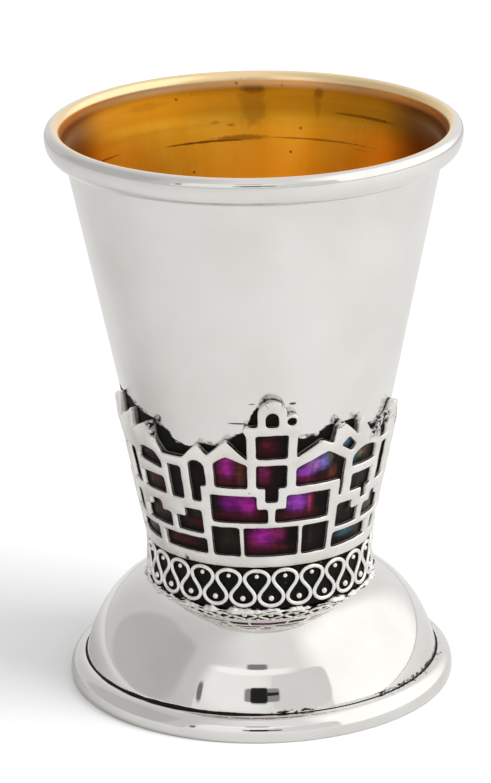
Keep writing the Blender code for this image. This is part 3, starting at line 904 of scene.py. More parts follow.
# degrees from the tower, mm above the band's foot, size in mm
ROUGH_SPOTS = ((-48.6, 9.0, 0.7), (-45.0, 9.7, 0.5), (-43.9, 0.7, 0.7), (-52.6, 22.0, 1.0),
               (-51.4, 20.4, 0.8), (60.0, 21.4, 0.7), (66.5, 20.2, 0.8), (8.4, 16.1, 0.35), (43.9, 22.0, 0.4),
               (-2.5, 27.9, 0.35), (4.6, 27.4, 0.4), (28.5, 22.8, 0.6), (74.0, 19.6, 1.2))
SUNKEN_SPOTS = ((51.5, 19.9, 1.3), (55.5, 20.2, 1.7), (59.5, 20.6, 1.5))
SINK = 0.75                     # mm that the middle of a sunken spot lies lower


def spot_value(points, spots):
    """How strongly a few round spots, given in degrees and mm, reach each flat point."""
    value = np.zeros(len(points))
    degrees = np.degrees(points[:, 0] / FLAT_RADIUS)
    front = np.array([folded(angle) for angle in degrees])
    for angle, z, size in spots:
        across = np.radians(front - angle) * FLAT_RADIUS
        value = np.maximum(value, np.exp(-((across / size) ** 2 + ((points[:, 1] - z) / size) ** 2)))
    return value


def uneven(points, scale, seed):
    """Smooth noise over the flat pattern, the same at both of its ends."""
    values = []
    for x, y in points:
        turn = x / FLAT_RADIUS
        spot = Vector((math.cos(turn), math.sin(turn), 0.0)) * FLAT_RADIUS * scale
        values.append(noise.noise(spot + Vector((seed, seed, y * scale))))
    return np.array(values)


def make_town():
    rings = [offset_loop(loop, reach) for loop in openings for reach in EDGE_RINGS]
    rim = [offset_loop(outline, -reach) for reach in EDGE_RINGS]

    def metal(middles):
        return inside(middles, outline) & ~inside_any(middles, openings)

    points, faces = triangulated([outline] + openings + rings + rim, [], metal)
    outer = [(a, b) for a, b in sides([outline]) if abs(a.x - b.x) > TOUCH]     # without the seam's ends
    away = edge_distance(points, sides(openings) + outer, EDGE_ROUND)
    fall = 1.0 - np.sqrt(np.maximum(0.0, 1.0 - (1.0 - away / EDGE_ROUND) ** 2))
    crust = spot_value(points, ROUGH_SPOTS)
    heights = FACE_LIFT - EDGE_DROP * fall + UNEVEN_FACE * uneven(points, 0.45, 2.0)
    sunk = spot_value(points, SUNKEN_SPOTS)
    crust = np.maximum(crust, sunk)
    heights += crust * CRUST_HEIGHT * uneven(points, 1.7, 5.0)
    heights -= SINK * np.minimum(1.0, 1.6 * sunk) ** 2
    town, is_top = wrapped_slab("town_band", points, faces, np.minimum(heights, FACE_LIFT + 0.02),
                                BAND_BACK, 50.0)
    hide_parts("skyline_band")
    from_openings = edge_distance(points, sides(openings), 0.1) < 0.01
    foot_depth = np.where(from_openings, 1.0, OUTER_DEPTH)
    give_values(town, "depth", np.where(is_top, 0.0, np.concatenate([foot_depth, foot_depth])))
    give_values(town, "crust", np.concatenate([crust, crust]))
    print(f"town: {2 * len(faces)} triangles")
    return town


town = make_town()

# %% [markdown]
# ## Enamel
# Each opening holds glassy enamel over the metal, a little lower than the casting, and drawn up
# at the walls like water in a tray. Each cell has its own colour, with a painted highlight in its
# middle, painted shade towards its sides, and in many cells a thin dark strip at its foot that is
# a painted reflection of the wall. Each touch is a soft spot of colour, given by its place and
# size, and the sum of the spots is stored on the mesh as a colour.

# %% Touches of colour
def linear(red, green, blue):
    """A colour as seen on a screen, 0 to 255, as light."""
    return tuple(((c / 255 + 0.055) / 1.055) ** 2.4 if c > 10 else c / 255 / 12.92
                 for c in (red, green, blue))


DARK = linear(24, 9, 9)
BLACK = linear(10, 8, 7)
MAGENTA = linear(158, 34, 142)
WINE = linear(122, 32, 82)
PURPLE = linear(126, 24, 124)
VIOLET = linear(150, 64, 178)
LILAC = linear(176, 112, 196)
LAVENDER = linear(126, 116, 196)
ROSE = linear(160, 56, 88)
RED = linear(92, 20, 42)
BROWN = linear(98, 50, 34)
MAROON = linear(66, 16, 22)
TEAL = linear(34, 88, 98)
STEEL = linear(92, 140, 172)
OLIVE = linear(34, 34, 24)
GREENISH = linear(96, 104, 66)

# degrees from the tower, mm above the band's foot, half width in degrees, half height in mm, colour;
# the cells' own colours, with painted highlights in their middles and painted reflections of the walls
CELL_COLOURS_AND_PAINTED_LIGHT = (
    (0.0, 3.1, 12.0, 0.6, MAROON), (-8.5, 4.2, 2.2, 1.6, RED), (9.4, 4.6, 2.0, 2.0, BLACK),
    (-3.2, 5.3, 5.6, 1.5, MAGENTA), (3.4, 5.6, 3.4, 1.2, WINE), (-20.5, 4.2, 4.6, 1.9, OLIVE),
    (20.0, 4.6, 1.4, 1.7, OLIVE), (-16.0, 8.6, 12.0, 0.7, MAROON), (-17.0, 10.7, 5.6, 1.2, PURPLE),
    (-10.0, 10.6, 3.6, 1.3, MAGENTA), (-7.0, 9.2, 1.0, 0.8, RED), (13.0, 8.6, 10.0, 0.6, MAROON),
    (11.6, 10.7, 4.8, 1.3, VIOLET), (18.2, 10.6, 0.6, 1.4, ROSE), (19.8, 10.6, 0.8, 1.6, RED),
    (23.6, 10.4, 1.8, 2.0, BLACK), (-17.5, 14.4, 7.0, 0.8, MAROON), (-19.6, 16.9, 4.0, 1.9, WINE),
    (-19.2, 16.8, 2.2, 1.3, MAGENTA), (-13.4, 16.0, 1.6, 1.9, BROWN), (20.0, 14.0, 8.4, 0.5, MAROON),
    (28.8, 15.0, 2.0, 0.9, BROWN), (15.5, 15.6, 3.6, 0.9, VIOLET), (19.6, 16.6, 3.2, 1.0, LILAC),
    (24.2, 17.1, 2.4, 1.3, LAVENDER), (26.8, 17.6, 1.0, 1.0, GREENISH), (14.0, 14.5, 3.0, 0.4, RED),
    (-3.4, 15.9, 2.6, 1.2, WINE), (-2.6, 14.7, 2.0, 0.6, RED), (5.6, 14.6, 1.6, 2.4, BLACK),
    (-1.6, 20.3, 4.4, 1.1, MAROON), (-2.0, 20.6, 1.2, 0.5, RED), (6.2, 20.2, 1.2, 1.4, BLACK),
    (41.0, 3.5, 3.0, 0.3, STEEL), (44.0, 3.4, 8.0, 0.4, TEAL), (36.2, 8.0, 2.0, 1.2, OLIVE),
    (40.0, 12.9, 1.2, 1.3, TEAL), (41.0, 16.6, 1.5, 1.1, TEAL), (44.5, 16.4, 1.6, 0.5, GREENISH),
    (47.5, 16.6, 1.4, 0.6, BROWN), (33.6, 19.5, 2.4, 0.8, STEEL), (32.6, 19.0, 0.8, 0.3, LAVENDER),
    (-58.5, 12.6, 5.0, 1.2, MAROON), (-58.0, 17.0, 5.0, 1.0, MAROON), (-59.0, 7.4, 4.0, 1.0, MAROON),
    (-36.0, 6.6, 5.0, 0.6, MAROON), (-36.0, 8.2, 3.0, 0.6, OLIVE), (-48.0, 3.0, 9.0, 0.5, MAROON),
    (75.0, 3.2, 8.0, 0.7, TEAL), (-75.0, 3.2, 6.0, 0.6, MAROON), (90.0, 14.5, 4.5, 2.6, LAVENDER),
    (-90.0, 14.5, 4.5, 2.6, MAGENTA), (80.0, 7.4, 5.0, 1.0, PURPLE), (-80.0, 7.4, 5.0, 1.0, WINE),
)


def enamel_colours_and_painted_light(points):
    """Sum of the touches, cell colour and painted light, at each flat point, over the dark ground colour."""
    front = np.array([folded(angle) for angle in np.degrees(points[:, 0] / FLAT_RADIUS)])
    colours = np.tile(np.array(DARK), (len(points), 1))
    for angle, z, half_width, half_height, colour in CELL_COLOURS_AND_PAINTED_LIGHT:
        away = ((front - angle) / half_width) ** 2 + ((points[:, 1] - z) / half_height) ** 2
        share = np.exp(-(away ** 1.6) * 0.7)[:, None]
        colours = colours * (1.0 - share) + np.array(colour) * share
    return colours


# %% Enamel fills
FILL_LEVEL = 0.42               # mm from the wall to the enamel's middle
FILL_RISE = 0.2                 # how far it is drawn up at the walls
FILL_RISE_WIDTH = 0.25          # over which that rise fades
FILL_UNEVEN = 0.03
FILL_SPACING = 0.45             # of the points inside a cell
FILL_CLEAR = 0.18               # none of those points is nearer to a wall
FILL_EDGE_REACH = 1.2           # how far from the walls the distance to them is stored


def make_enamel():
    left = math.radians(SEAM) * FLAT_RADIUS
    width = math.tau * FLAT_RADIUS
    frame_loop = [Vector((left, -1.0)), Vector((left + width, -1.0)),
                  Vector((left + width, tower_top + 2)), Vector((left, tower_top + 2))]
    columns = np.arange(left + FILL_SPACING, left + width, FILL_SPACING)
    rows = np.arange(BORDER, tower_top, FILL_SPACING)
    grid = np.array([(x, y) for x in columns for y in rows])
    grid = grid[inside_any(grid, openings)]
    grid = grid[edge_distance(grid, sides(openings), 0.3) > FILL_CLEAR]

    def glass(middles):
        return inside(middles, frame_loop) & inside_any(middles, openings)

    points, faces = triangulated([frame_loop] + openings, [Vector(p) for p in grid], glass)
    away = edge_distance(points, sides(openings), FILL_EDGE_REACH)
    heights = FILL_LEVEL + FILL_RISE * np.exp(-away / FILL_RISE_WIDTH)
    heights += FILL_UNEVEN * uneven(points, 0.9, 11.0)
    enamel, _ = wrapped_slab("enamel_fills", points, faces, heights, BAND_BACK, 60.0)
    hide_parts("enamel_ground")
    tint = enamel.data.attributes.new("tint", "FLOAT_COLOR", "POINT")
    colours = enamel_colours_and_painted_light(points)
    rgba = np.concatenate([colours, np.ones((len(colours), 1))], axis=1)
    tint.data.foreach_set("color", np.concatenate([rgba, rgba]).astype(np.float32).ravel())
    give_values(enamel, "edge", np.concatenate([away, away]))
    print(f"enamel: {2 * len(faces)} triangles")
    return enamel


enamel = make_enamel()

# %% [markdown]
# ## Finishes
# The finishes share a few effects, and each effect is a node group with named sockets: fine
# handling marks on polished metal, a ragged border between two finishes, and sparse specks. The
# streaks of the old gilding are a group too, which keeps the bowl's own nodes few. A group gives
# masks and heights only; the shader itself stays in each material.

# %% Helpers for nodes
def add_node(tree, kind, settings=None, **inputs):
    """Adds a node; an input is a plain value or another node's output, and i0 is the first one."""
    made = tree.nodes.new(kind)
    for name, value in (settings or {}).items():
        setattr(made, name, value)
    for name, value in inputs.items():
        key = int(name[1:]) if name[0] == "i" and name[1:].isdigit() else name.replace("_", " ")
        if isinstance(value, bpy.types.NodeSocket):
            tree.links.new(value, made.inputs[key])
        else:
            made.inputs[key].default_value = value
    return made


def calc(tree, operation, a, b=0.0, clamp=False):
    """One step of arithmetic, as a socket."""
    made = add_node(tree, "ShaderNodeMath", {"operation": operation, "use_clamp": clamp}, i0=a, i1=b)
    return made.outputs[0]


def between(tree, value, low, high, to_low=0.0, to_high=1.0):
    """A value moved smoothly from one range to another."""
    made = add_node(tree, "ShaderNodeMapRange", {"interpolation_type": "SMOOTHSTEP"}, Value=value,
                    From_Min=low, From_Max=high, To_Min=to_low, To_Max=to_high)
    return made.outputs["Result"]


def blend_colours(tree, mask, a, b):
    """Colour a where the mask is 0, and b where it is 1."""
    made = tree.nodes.new("ShaderNodeMix")
    made.data_type = "RGBA"
    for socket, value in ((made.inputs[0], mask), (made.inputs[6], a), (made.inputs[7], b)):
        if isinstance(value, bpy.types.NodeSocket):
            tree.links.new(value, socket)
        else:
            socket.default_value = value if isinstance(value, float) else (*value, 1.0)
    return made.outputs[2]


def grain(tree, vector, scale, detail=3.0, roughness=0.55):
    """Soft noise round 0.5, as a socket."""
    made = add_node(tree, "ShaderNodeTexNoise", Vector=vector, Scale=scale, Detail=detail,
                    Roughness=roughness)
    return made.outputs["Fac"]


def new_group(name, takes, gives):
    """A shader node group with float or vector sockets; returns its tree, input and output node."""
    tree = bpy.data.node_groups.new(name, "ShaderNodeTree")
    for socket, kind in takes.items():
        tree.interface.new_socket(name=socket, in_out="INPUT", socket_type=kind)
    for socket, kind in gives.items():
        tree.interface.new_socket(name=socket, in_out="OUTPUT", socket_type=kind)
    return tree, tree.nodes.new("NodeGroupInput"), tree.nodes.new("NodeGroupOutput")


FLOAT = "NodeSocketFloat"
VECTOR = "NodeSocketVector"


def use_group(tree, group, **inputs):
    """Places a node group in a tree with its own values."""
    return add_node(tree, "ShaderNodeGroup", {"node_tree": group}, **inputs)


# %% [markdown]
# Handling marks: silver that was spun on a lathe and then used keeps faint rings, cloudy
# patches where fingers were, and short scratches. The noise is squeezed in height, so it runs
# round the cup.

# %% Group: handling marks
def handling_group():
    tree, given, out = new_group("handling marks", {"Vector": VECTOR, "Rings": FLOAT, "Clouds": FLOAT},
                                 {"Roughness": FLOAT, "Height": FLOAT})
    squeezed = add_node(tree, "ShaderNodeMapping", Vector=given.outputs["Vector"],
                        Scale=(60.0, 60.0, 2600.0))
    rings = grain(tree, squeezed.outputs[0], 1.0, 2.0, 0.6)
    slanted = add_node(tree, "ShaderNodeMapping", Vector=given.outputs["Vector"],
                       Rotation=(0.5, 0.35, 0.2), Scale=(2200.0, 90.0, 500.0))
    strokes = between(tree, grain(tree, slanted.outputs[0], 1.0, 2.0), 0.62, 0.74)
    clouds = grain(tree, given.outputs["Vector"], 55.0, 4.0, 0.6)
    ring_part = calc(tree, "MULTIPLY", rings, given.outputs["Rings"])
    cloud_part = calc(tree, "MULTIPLY", clouds, given.outputs["Clouds"])
    rough = calc(tree, "ADD", calc(tree, "MULTIPLY", ring_part, 0.12),
                 calc(tree, "MULTIPLY", cloud_part, 0.1))
    rough = calc(tree, "ADD", rough, calc(tree, "MULTIPLY", strokes, 0.05))
    height = calc(tree, "ADD", ring_part, calc(tree, "MULTIPLY", cloud_part, 2.0))
    tree.links.new(rough, out.inputs["Roughness"])
    tree.links.new(height, out.inputs["Height"])
    return tree


handling = handling_group()
print("group:", handling.name)

# %% [markdown]
# Ragged border: blackening and gilding end in a torn line, not a clean one. The group takes the
# distance to the line in millimetres, shifts it by noise, and turns it into a mask.

# %% Group: ragged border
def ragged_group():
    """Turns a distance in mm into a mask whose border wanders: 1 where the distance is above 0."""
    tree, given, out = new_group("ragged border", {"Vector": VECTOR, "Distance": FLOAT, "Wander": FLOAT,
                                                   "Scale": FLOAT, "Softness": FLOAT}, {"Mask": FLOAT})
    coarse = grain(tree, given.outputs["Vector"], given.outputs["Scale"], 6.0, 0.7)
    drift = calc(tree, "MULTIPLY", calc(tree, "SUBTRACT", coarse, 0.5), given.outputs["Wander"])
    moved = calc(tree, "ADD", given.outputs["Distance"], calc(tree, "MULTIPLY", drift, 2.0))
    ratio = calc(tree, "DIVIDE", moved, given.outputs["Softness"])
    tree.links.new(between(tree, ratio, -0.5, 0.5), out.inputs["Mask"])
    return tree


ragged = ragged_group()
print("group:", ragged.name)

# %% [markdown]
# Specks: small black pits stand alone on polished metal and on the gilding. Noise would make
# clouds of them; the cells of a Voronoi texture give single dots, and each cell's own random
# colour decides whether its dot is there.

# %% Group: specks
def specks_group():
    """Sparse round specks: points of a cell pattern that pass a draw."""
    tree, given, out = new_group("specks", {"Vector": VECTOR, "Scale": FLOAT, "Amount": FLOAT},
                                 {"Mask": FLOAT})
    cells = add_node(tree, "ShaderNodeTexVoronoi", Vector=given.outputs["Vector"],
                     Scale=given.outputs["Scale"])
    dots = between(tree, cells.outputs["Distance"], 0.16, 0.05)
    draw = add_node(tree, "ShaderNodeSeparateColor", Color=cells.outputs["Color"]).outputs[0]
    passed = calc(tree, "LESS_THAN", draw, given.outputs["Amount"])
    tree.links.new(calc(tree, "MULTIPLY", dots, passed), out.inputs["Mask"])
    return tree


specks = specks_group()
print("group:", specks.name)

# %% [markdown]
# Brushed streaks: gilding that was wiped for years is streaky down the wall and has fine dark
# scratches round it. Both are noise, stretched along the one way or the other.

# %% Group: brushed streaks
def brushed_group():
    """Old gilding: upright streaks that run down the wall, and a few dark scratches round it."""
    tree, given, out = new_group("brushed streaks", {"Vector": VECTOR},
                                 {"Streaks": FLOAT, "Scratches": FLOAT})
    place = given.outputs["Vector"]
    upright = add_node(tree, "ShaderNodeMapping", Vector=place, Scale=(210.0, 210.0, 16.0))
    streaks = between(tree, grain(tree, upright.outputs[0], 1.0, 4.0, 0.65), 0.36, 0.66)
    mottled = between(tree, grain(tree, place, 170.0, 5.0, 0.65), 0.35, 0.68)
    both = calc(tree, "ADD", calc(tree, "MULTIPLY", streaks, 0.65),
                calc(tree, "MULTIPLY", mottled, 0.35))
    lying = add_node(tree, "ShaderNodeMapping", Vector=place, Scale=(42.0, 42.0, 1500.0))
    lines = between(tree, grain(tree, lying.outputs[0], 1.0, 3.0, 0.6), 0.63, 0.72)
    patches = between(tree, grain(tree, place, 75.0, 2.0), 0.5, 0.62)
    tree.links.new(both, out.inputs["Streaks"])
    tree.links.new(calc(tree, "MULTIPLY", lines, patches), out.inputs["Scratches"])
    return tree


brushed = brushed_group()
print("group:", brushed.name)

# %% [markdown]
# Every material starts alike: a Principled shader, the point on the object for its textures, and
# the values that were stored on the mesh. Colours are light, not screen values, so the black
# oxide is a very small number.

# %% Helpers for materials
def new_material(name, gloss):
    """A material, its nodes and its shader; gloss is the shine of what isn't metal."""
    made = bpy.data.materials.new(name)
    made.use_nodes = True
    shader = made.node_tree.nodes["Principled BSDF"]
    shader.inputs["Specular IOR Level"].default_value = gloss
    return made, made.node_tree, shader


def object_place(tree):
    """The point on the object in metres, as a vector for textures."""
    return add_node(tree, "ShaderNodeTexCoord").outputs["Object"]


def stored(tree, name):
    """A value stored on the mesh's points."""
    return add_node(tree, "ShaderNodeAttribute", {"attribute_name": name})


def bump(tree, shader, height, distance, strength):
    """Feeds a height to the shader's normal; the distance is how deep a height of 1 is."""
    made = add_node(tree, "ShaderNodeBump", Height=height, Distance=distance, Strength=strength)
    tree.links.new(made.outputs["Normal"], shader.inputs["Normal"])


def paint(piece, finish):
    """Gives a piece one material."""
    piece.data.materials.clear()
    piece.data.materials.append(finish)


# %% Colours of the metals
SILVER = (0.80, 0.785, 0.755)
SILVER_DULL = (0.70, 0.685, 0.65)
GOLD = (1.0, 0.55, 0.05)
GOLD_DEEP = (0.94, 0.44, 0.02)
GOLD_WORN = (0.92, 0.70, 0.40)
GOLD_PAINTED_SHADE = (0.46, 0.165, 0.005)
TARNISH_AND_PAINTED_SHADE = (0.15, 0.05, 0.004)
OXIDE = (0.006, 0.006, 0.005)
BLACK_GLOSS = 0.08              # oxide and enamel hardly shine
print("gold as light:", GOLD)

# %% [markdown]
# Old gilding has stains, and two marks among them, in the middle of the far side, are a painted
# reflection of the camera. The wall round the tower has a few dark scratches.
# Each is a single mark with its own place, so it is an ellipse with a ragged border, seen from
# the front, and a mask keeps it to the far side of the inside or to the near side of the outside.

# %% Mask of single marks
def mark_mask(tree, place, marks):
    """A mask of single marks, each an ellipse seen from the front with a ragged border."""
    xyz = add_node(tree, "ShaderNodeSeparateXYZ", Vector=place)
    ragged_line = between(tree, grain(tree, place, 600.0, 4.0, 0.7), 0.3, 0.7, -0.4, 0.4)
    mask = 0.0
    for x, z, half_x, half_z, strength in marks:
        off_x = calc(tree, "DIVIDE", calc(tree, "SUBTRACT", xyz.outputs["X"], x * MM), half_x * MM)
        off_z = calc(tree, "DIVIDE", calc(tree, "SUBTRACT", xyz.outputs["Z"], z * MM), half_z * MM)
        off = calc(tree, "ADD", calc(tree, "MULTIPLY", off_x, off_x),
                   calc(tree, "MULTIPLY", off_z, off_z))
        off = calc(tree, "ADD", off, ragged_line)
        mask = calc(tree, "MAXIMUM", between(tree, off, 1.6, 0.2, 0.0, strength), mask)
    return mask


# x and z of the middle, half width and half height in mm, strength: stains on the gilding's far side;
# the first two, near its middle, are a painted reflection of the camera's dark shape
STAINS_AND_CAMERA_REFLECTION = ((2.4, 82.4, 2.1, 3.6, 0.35), (2.5, 84.5, 2.0, 0.8, 0.75), (12.6, 84.2, 0.7, 0.9, 0.6),
          (12.2, 82.6, 0.5, 2.4, 0.25), (-4.0, 77.0, 7.5, 0.18, 0.85), (0.6, 77.3, 4.2, 0.45, 0.6),
          (12.0, 77.3, 7.0, 0.15, 0.6), (19.5, 81.6, 4.5, 0.22, 0.7), (-3.4, 79.8, 0.8, 0.3, 0.35),
          (-1.0, 79.3, 0.6, 0.2, 0.45), (8.0, 75.2, 0.2, 0.2, 0.9), (-7.0, 72.6, 0.18, 0.18, 0.9),
          (-14.0, 83.4, 3.0, 0.5, 0.2))
# the same for scratches on the wall's outside, round the tower
SCRATCHES = ((-4.9, 47.15, 1.3, 0.13, 0.9), (-2.9, 50.4, 0.5, 0.12, 0.7), (3.1, 50.25, 0.5, 0.2, 0.9),
             (3.4, 48.1, 0.7, 0.16, 0.8), (6.2, 44.0, 0.4, 0.16, 0.7))
print(len(STAINS_AND_CAMERA_REFLECTION), "stains and", len(SCRATCHES), "scratches")

# %% [markdown]
# ## Polished silver, and the gilt bowl
# Metal has no diffuse colour: it shows its surroundings, tinted. So polished silver needs a
# metallic value of 1, a low roughness with some life in it, and very little bump. On the bowl
# the gilding starts past the crest of the rim, and the blackened ground takes over behind the
# town: both are masks from the values stored on the mesh. The gilding is worn pale on the bead.
# Below it, painted shade makes the gold darker and redder for the first centimetre, and browner
# at the bowl's two sides.

# %% Finish of the bowl
def bowl_finish():
    made, tree, shader = new_material("silver gilt inside", BLACK_GLOSS)
    place = object_place(tree)
    marks = use_group(tree, handling, Vector=place, Rings=1.0, Clouds=1.0)
    past = stored(tree, "gilding").outputs["Fac"]       # mm past the crest, below 0 on the outside
    gilt = use_group(tree, ragged, Vector=place, Distance=past, Wander=0.35, Scale=260.0,
                     Softness=0.5).outputs["Mask"]
    torn = add_node(tree, "ShaderNodeMapping", Vector=place, Scale=(0.4, 0.4, 1.7))
    sunk = stored(tree, "ground_depth").outputs["Fac"]
    oxide = use_group(tree, ragged, Vector=torn.outputs[0], Distance=sunk, Wander=1.5, Scale=900.0,
                      Softness=0.3).outputs["Mask"]
    wide = grain(tree, place, 40.0, 5.0)
    silver = blend_colours(tree, between(tree, wide, 0.35, 0.75), SILVER, SILVER_DULL)
    fine = use_group(tree, brushed, Vector=place)
    gold = blend_colours(tree, fine.outputs["Streaks"], GOLD, GOLD_DEEP)
    gold = blend_colours(tree, calc(tree, "MULTIPLY", fine.outputs["Scratches"], 0.8), gold, TARNISH_AND_PAINTED_SHADE)
    # painted shade: darker, redder gold for the first centimetre below the bead
    gold = blend_colours(tree, between(tree, past, 9.5, 6.0, 0.0, 0.9), gold, GOLD_PAINTED_SHADE)
    stains_and_painted_shade = mark_mask(tree, place, STAINS_AND_CAMERA_REFLECTION)
    xyz = add_node(tree, "ShaderNodeSeparateXYZ", Vector=place)
    far = between(tree, xyz.outputs["Y"], 4 * MM, 8 * MM)
    stains_and_painted_shade = calc(tree, "MULTIPLY", calc(tree, "MULTIPLY", stains_and_painted_shade, far), between(tree, past, 1.0, 2.4))
    # painted shade: the gold turns darker and browner towards the bowl's two sides, below the bead
    side = calc(tree, "ABSOLUTE", xyz.outputs["X"])
    shade = between(tree, side, 0.66 * rim_radius, 0.84 * rim_radius, 0.0, 0.9)
    shade = calc(tree, "MULTIPLY", shade, between(tree, past, 2.2, 3.2))
    stains_and_painted_shade = calc(tree, "MAXIMUM", stains_and_painted_shade, shade)
    gold = blend_colours(tree, stains_and_painted_shade, gold, TARNISH_AND_PAINTED_SHADE)
    gold = blend_colours(tree, between(tree, past, 3.2, 1.8), gold, GOLD_WORN)
    dots = use_group(tree, specks, Vector=place, Scale=420.0, Amount=0.12).outputs["Mask"]
    gold = blend_colours(tree, calc(tree, "MULTIPLY", dots, 0.8), gold, (0.10, 0.035, 0.01))
    near = between(tree, xyz.outputs["Y"], -4 * MM, -8 * MM)
    scratched = calc(tree, "MULTIPLY", mark_mask(tree, place, SCRATCHES), near)
    silver = blend_colours(tree, scratched, silver, OXIDE)
    colour = blend_colours(tree, gilt, silver, gold)
    colour = blend_colours(tree, oxide, colour, OXIDE)
    tree.links.new(colour, shader.inputs["Base Color"])
    tree.links.new(between(tree, oxide, 0.0, 1.0, 1.0, 0.15), shader.inputs["Metallic"])
    rough = calc(tree, "ADD", marks.outputs["Roughness"], 0.07)
    polished = calc(tree, "MULTIPLY", between(tree, past, -6.5, -5.0), between(tree, past, 1.5, 0.0))
    rough = calc(tree, "MULTIPLY", rough, between(tree, polished, 0.0, 1.0, 1.0, 0.22))
    rough = calc(tree, "ADD", rough, between(tree, past, 0.5, 3.4, 0.0, 0.2))
    rough = calc(tree, "ADD", rough, calc(tree, "MULTIPLY", oxide, 0.4))
    tree.links.new(rough, shader.inputs["Roughness"])
    grit = calc(tree, "MULTIPLY", grain(tree, place, 2600.0, 3.0), oxide)
    height = calc(tree, "ADD", calc(tree, "MULTIPLY", marks.outputs["Height"], 0.02), grit)
    bump(tree, shader, height, 0.1 * MM, 0.6)
    return made


paint(bowl, bowl_finish())
print("bowl painted")

# %% [markdown]
# Dome and ring are the same polished silver, the ring with more cloudy wear. Black flecks sit
# where the solder ran on either side of their joint: a ragged border round one level, which
# noise breaks up into patches.

# %% Finish of dome and ring
def foot_finish(name, dullness, joint_level, joint_reach):
    """Polished silver with black flecks within a few tenths of a mm of the joint's level."""
    made, tree, shader = new_material(name, BLACK_GLOSS)
    place = object_place(tree)
    marks = use_group(tree, handling, Vector=place, Rings=0.8, Clouds=dullness)
    level = add_node(tree, "ShaderNodeSeparateXYZ", Vector=place).outputs["Z"]
    away = calc(tree, "ABSOLUTE", calc(tree, "SUBTRACT", level, joint_level))
    patch = between(tree, grain(tree, place, 60.0, 1.0), 0.42, 0.6, -0.7, 0.0)
    near = calc(tree, "SUBTRACT", calc(tree, "ADD", joint_reach, patch), calc(tree, "DIVIDE", away, MM))
    lying = add_node(tree, "ShaderNodeMapping", Vector=place, Scale=(0.6, 0.6, 1.6))
    flecks = use_group(tree, ragged, Vector=lying.outputs[0], Distance=near, Wander=1.3, Scale=1500.0,
                       Softness=0.25).outputs["Mask"]
    wide = grain(tree, place, 45.0, 4.0)
    silver = blend_colours(tree, between(tree, wide, 0.35, 0.75), SILVER, SILVER_DULL)
    dots = use_group(tree, specks, Vector=place, Scale=420.0, Amount=0.012).outputs["Mask"]
    dark = calc(tree, "MAXIMUM", flecks, calc(tree, "MULTIPLY", dots, 0.6))
    tree.links.new(blend_colours(tree, dark, silver, OXIDE), shader.inputs["Base Color"])
    tree.links.new(between(tree, flecks, 0.0, 1.0, 1.0, 0.2), shader.inputs["Metallic"])
    rough = calc(tree, "ADD", marks.outputs["Roughness"], calc(tree, "MULTIPLY", dark, 0.4))
    tree.links.new(calc(tree, "SUBTRACT", rough, 0.045, True), shader.inputs["Roughness"])
    bump(tree, shader, marks.outputs["Height"], 0.002 * MM, 0.6)
    return made


paint(dome, foot_finish("polished silver", dullness=0.5, joint_level=dome_foot[1], joint_reach=0.1))
paint(ring, foot_finish("ring silver", dullness=0.7, joint_level=ring_top, joint_reach=-0.25))
print("foot painted")

# %% [markdown]
# ## Cast and blackened silver
# The casting is softer to look at than spun silver: it was polished only on its face, and its
# walls were blackened on purpose. The stored depth blends one into the other, and the rough
# spots get grit and black in their pits.

# %% Finish of the casting
def cast_finish():
    """Bright face, black walls, and grit with black pits in the rough spots."""
    made, tree, shader = new_material("cast silver", BLACK_GLOSS)
    place = object_place(tree)
    marks = use_group(tree, handling, Vector=place, Rings=0.3, Clouds=1.4)
    depth = stored(tree, "depth").outputs["Fac"]
    crust = stored(tree, "crust").outputs["Fac"]
    low = calc(tree, "SUBTRACT", calc(tree, "MULTIPLY", depth, 2.4), 0.75)
    walls = use_group(tree, ragged, Vector=place, Distance=low, Wander=0.35, Scale=900.0,
                      Softness=0.5).outputs["Mask"]
    grit = grain(tree, place, 1900.0, 4.0, 0.65)
    pits = calc(tree, "MULTIPLY", between(tree, grit, 0.56, 0.45), between(tree, crust, 0.25, 0.6))
    fine = use_group(tree, specks, Vector=place, Scale=900.0, Amount=0.05).outputs["Mask"]
    dark = calc(tree, "MAXIMUM", calc(tree, "MAXIMUM", walls, pits), calc(tree, "MULTIPLY", fine, 0.7))
    wide = between(tree, grain(tree, place, 160.0, 4.0), 0.35, 0.7)
    silver = blend_colours(tree, wide, (0.84, 0.82, 0.78), (0.72, 0.69, 0.65))
    tree.links.new(blend_colours(tree, dark, silver, OXIDE), shader.inputs["Base Color"])
    tree.links.new(between(tree, dark, 0.0, 1.0, 1.0, 0.1), shader.inputs["Metallic"])
    rough = calc(tree, "ADD", marks.outputs["Roughness"], 0.16)
    rough = calc(tree, "ADD", rough, calc(tree, "MULTIPLY", dark, 0.35))
    tree.links.new(rough, shader.inputs["Roughness"])
    rough_part = calc(tree, "MULTIPLY", grit, between(tree, crust, 0.15, 0.6))
    height = calc(tree, "ADD", calc(tree, "MULTIPLY", marks.outputs["Height"], 0.03), rough_part)
    bump(tree, shader, height, 0.35 * MM, 0.8)
    return made


paint(town, cast_finish())
print("casting painted")

# %% [markdown]
# The collar's wire and granules are bright where a cloth reaches them and black where they meet
# the ground. The ground and the joint's solder are black all over, with a little bare metal on
# the highest grit. The solder under the collar is bright and lumpy.

# %% Finishes of the collar and the solder
WIRE_BLACK = 0.08 * MM          # off the ground, where the wire's black foot ends


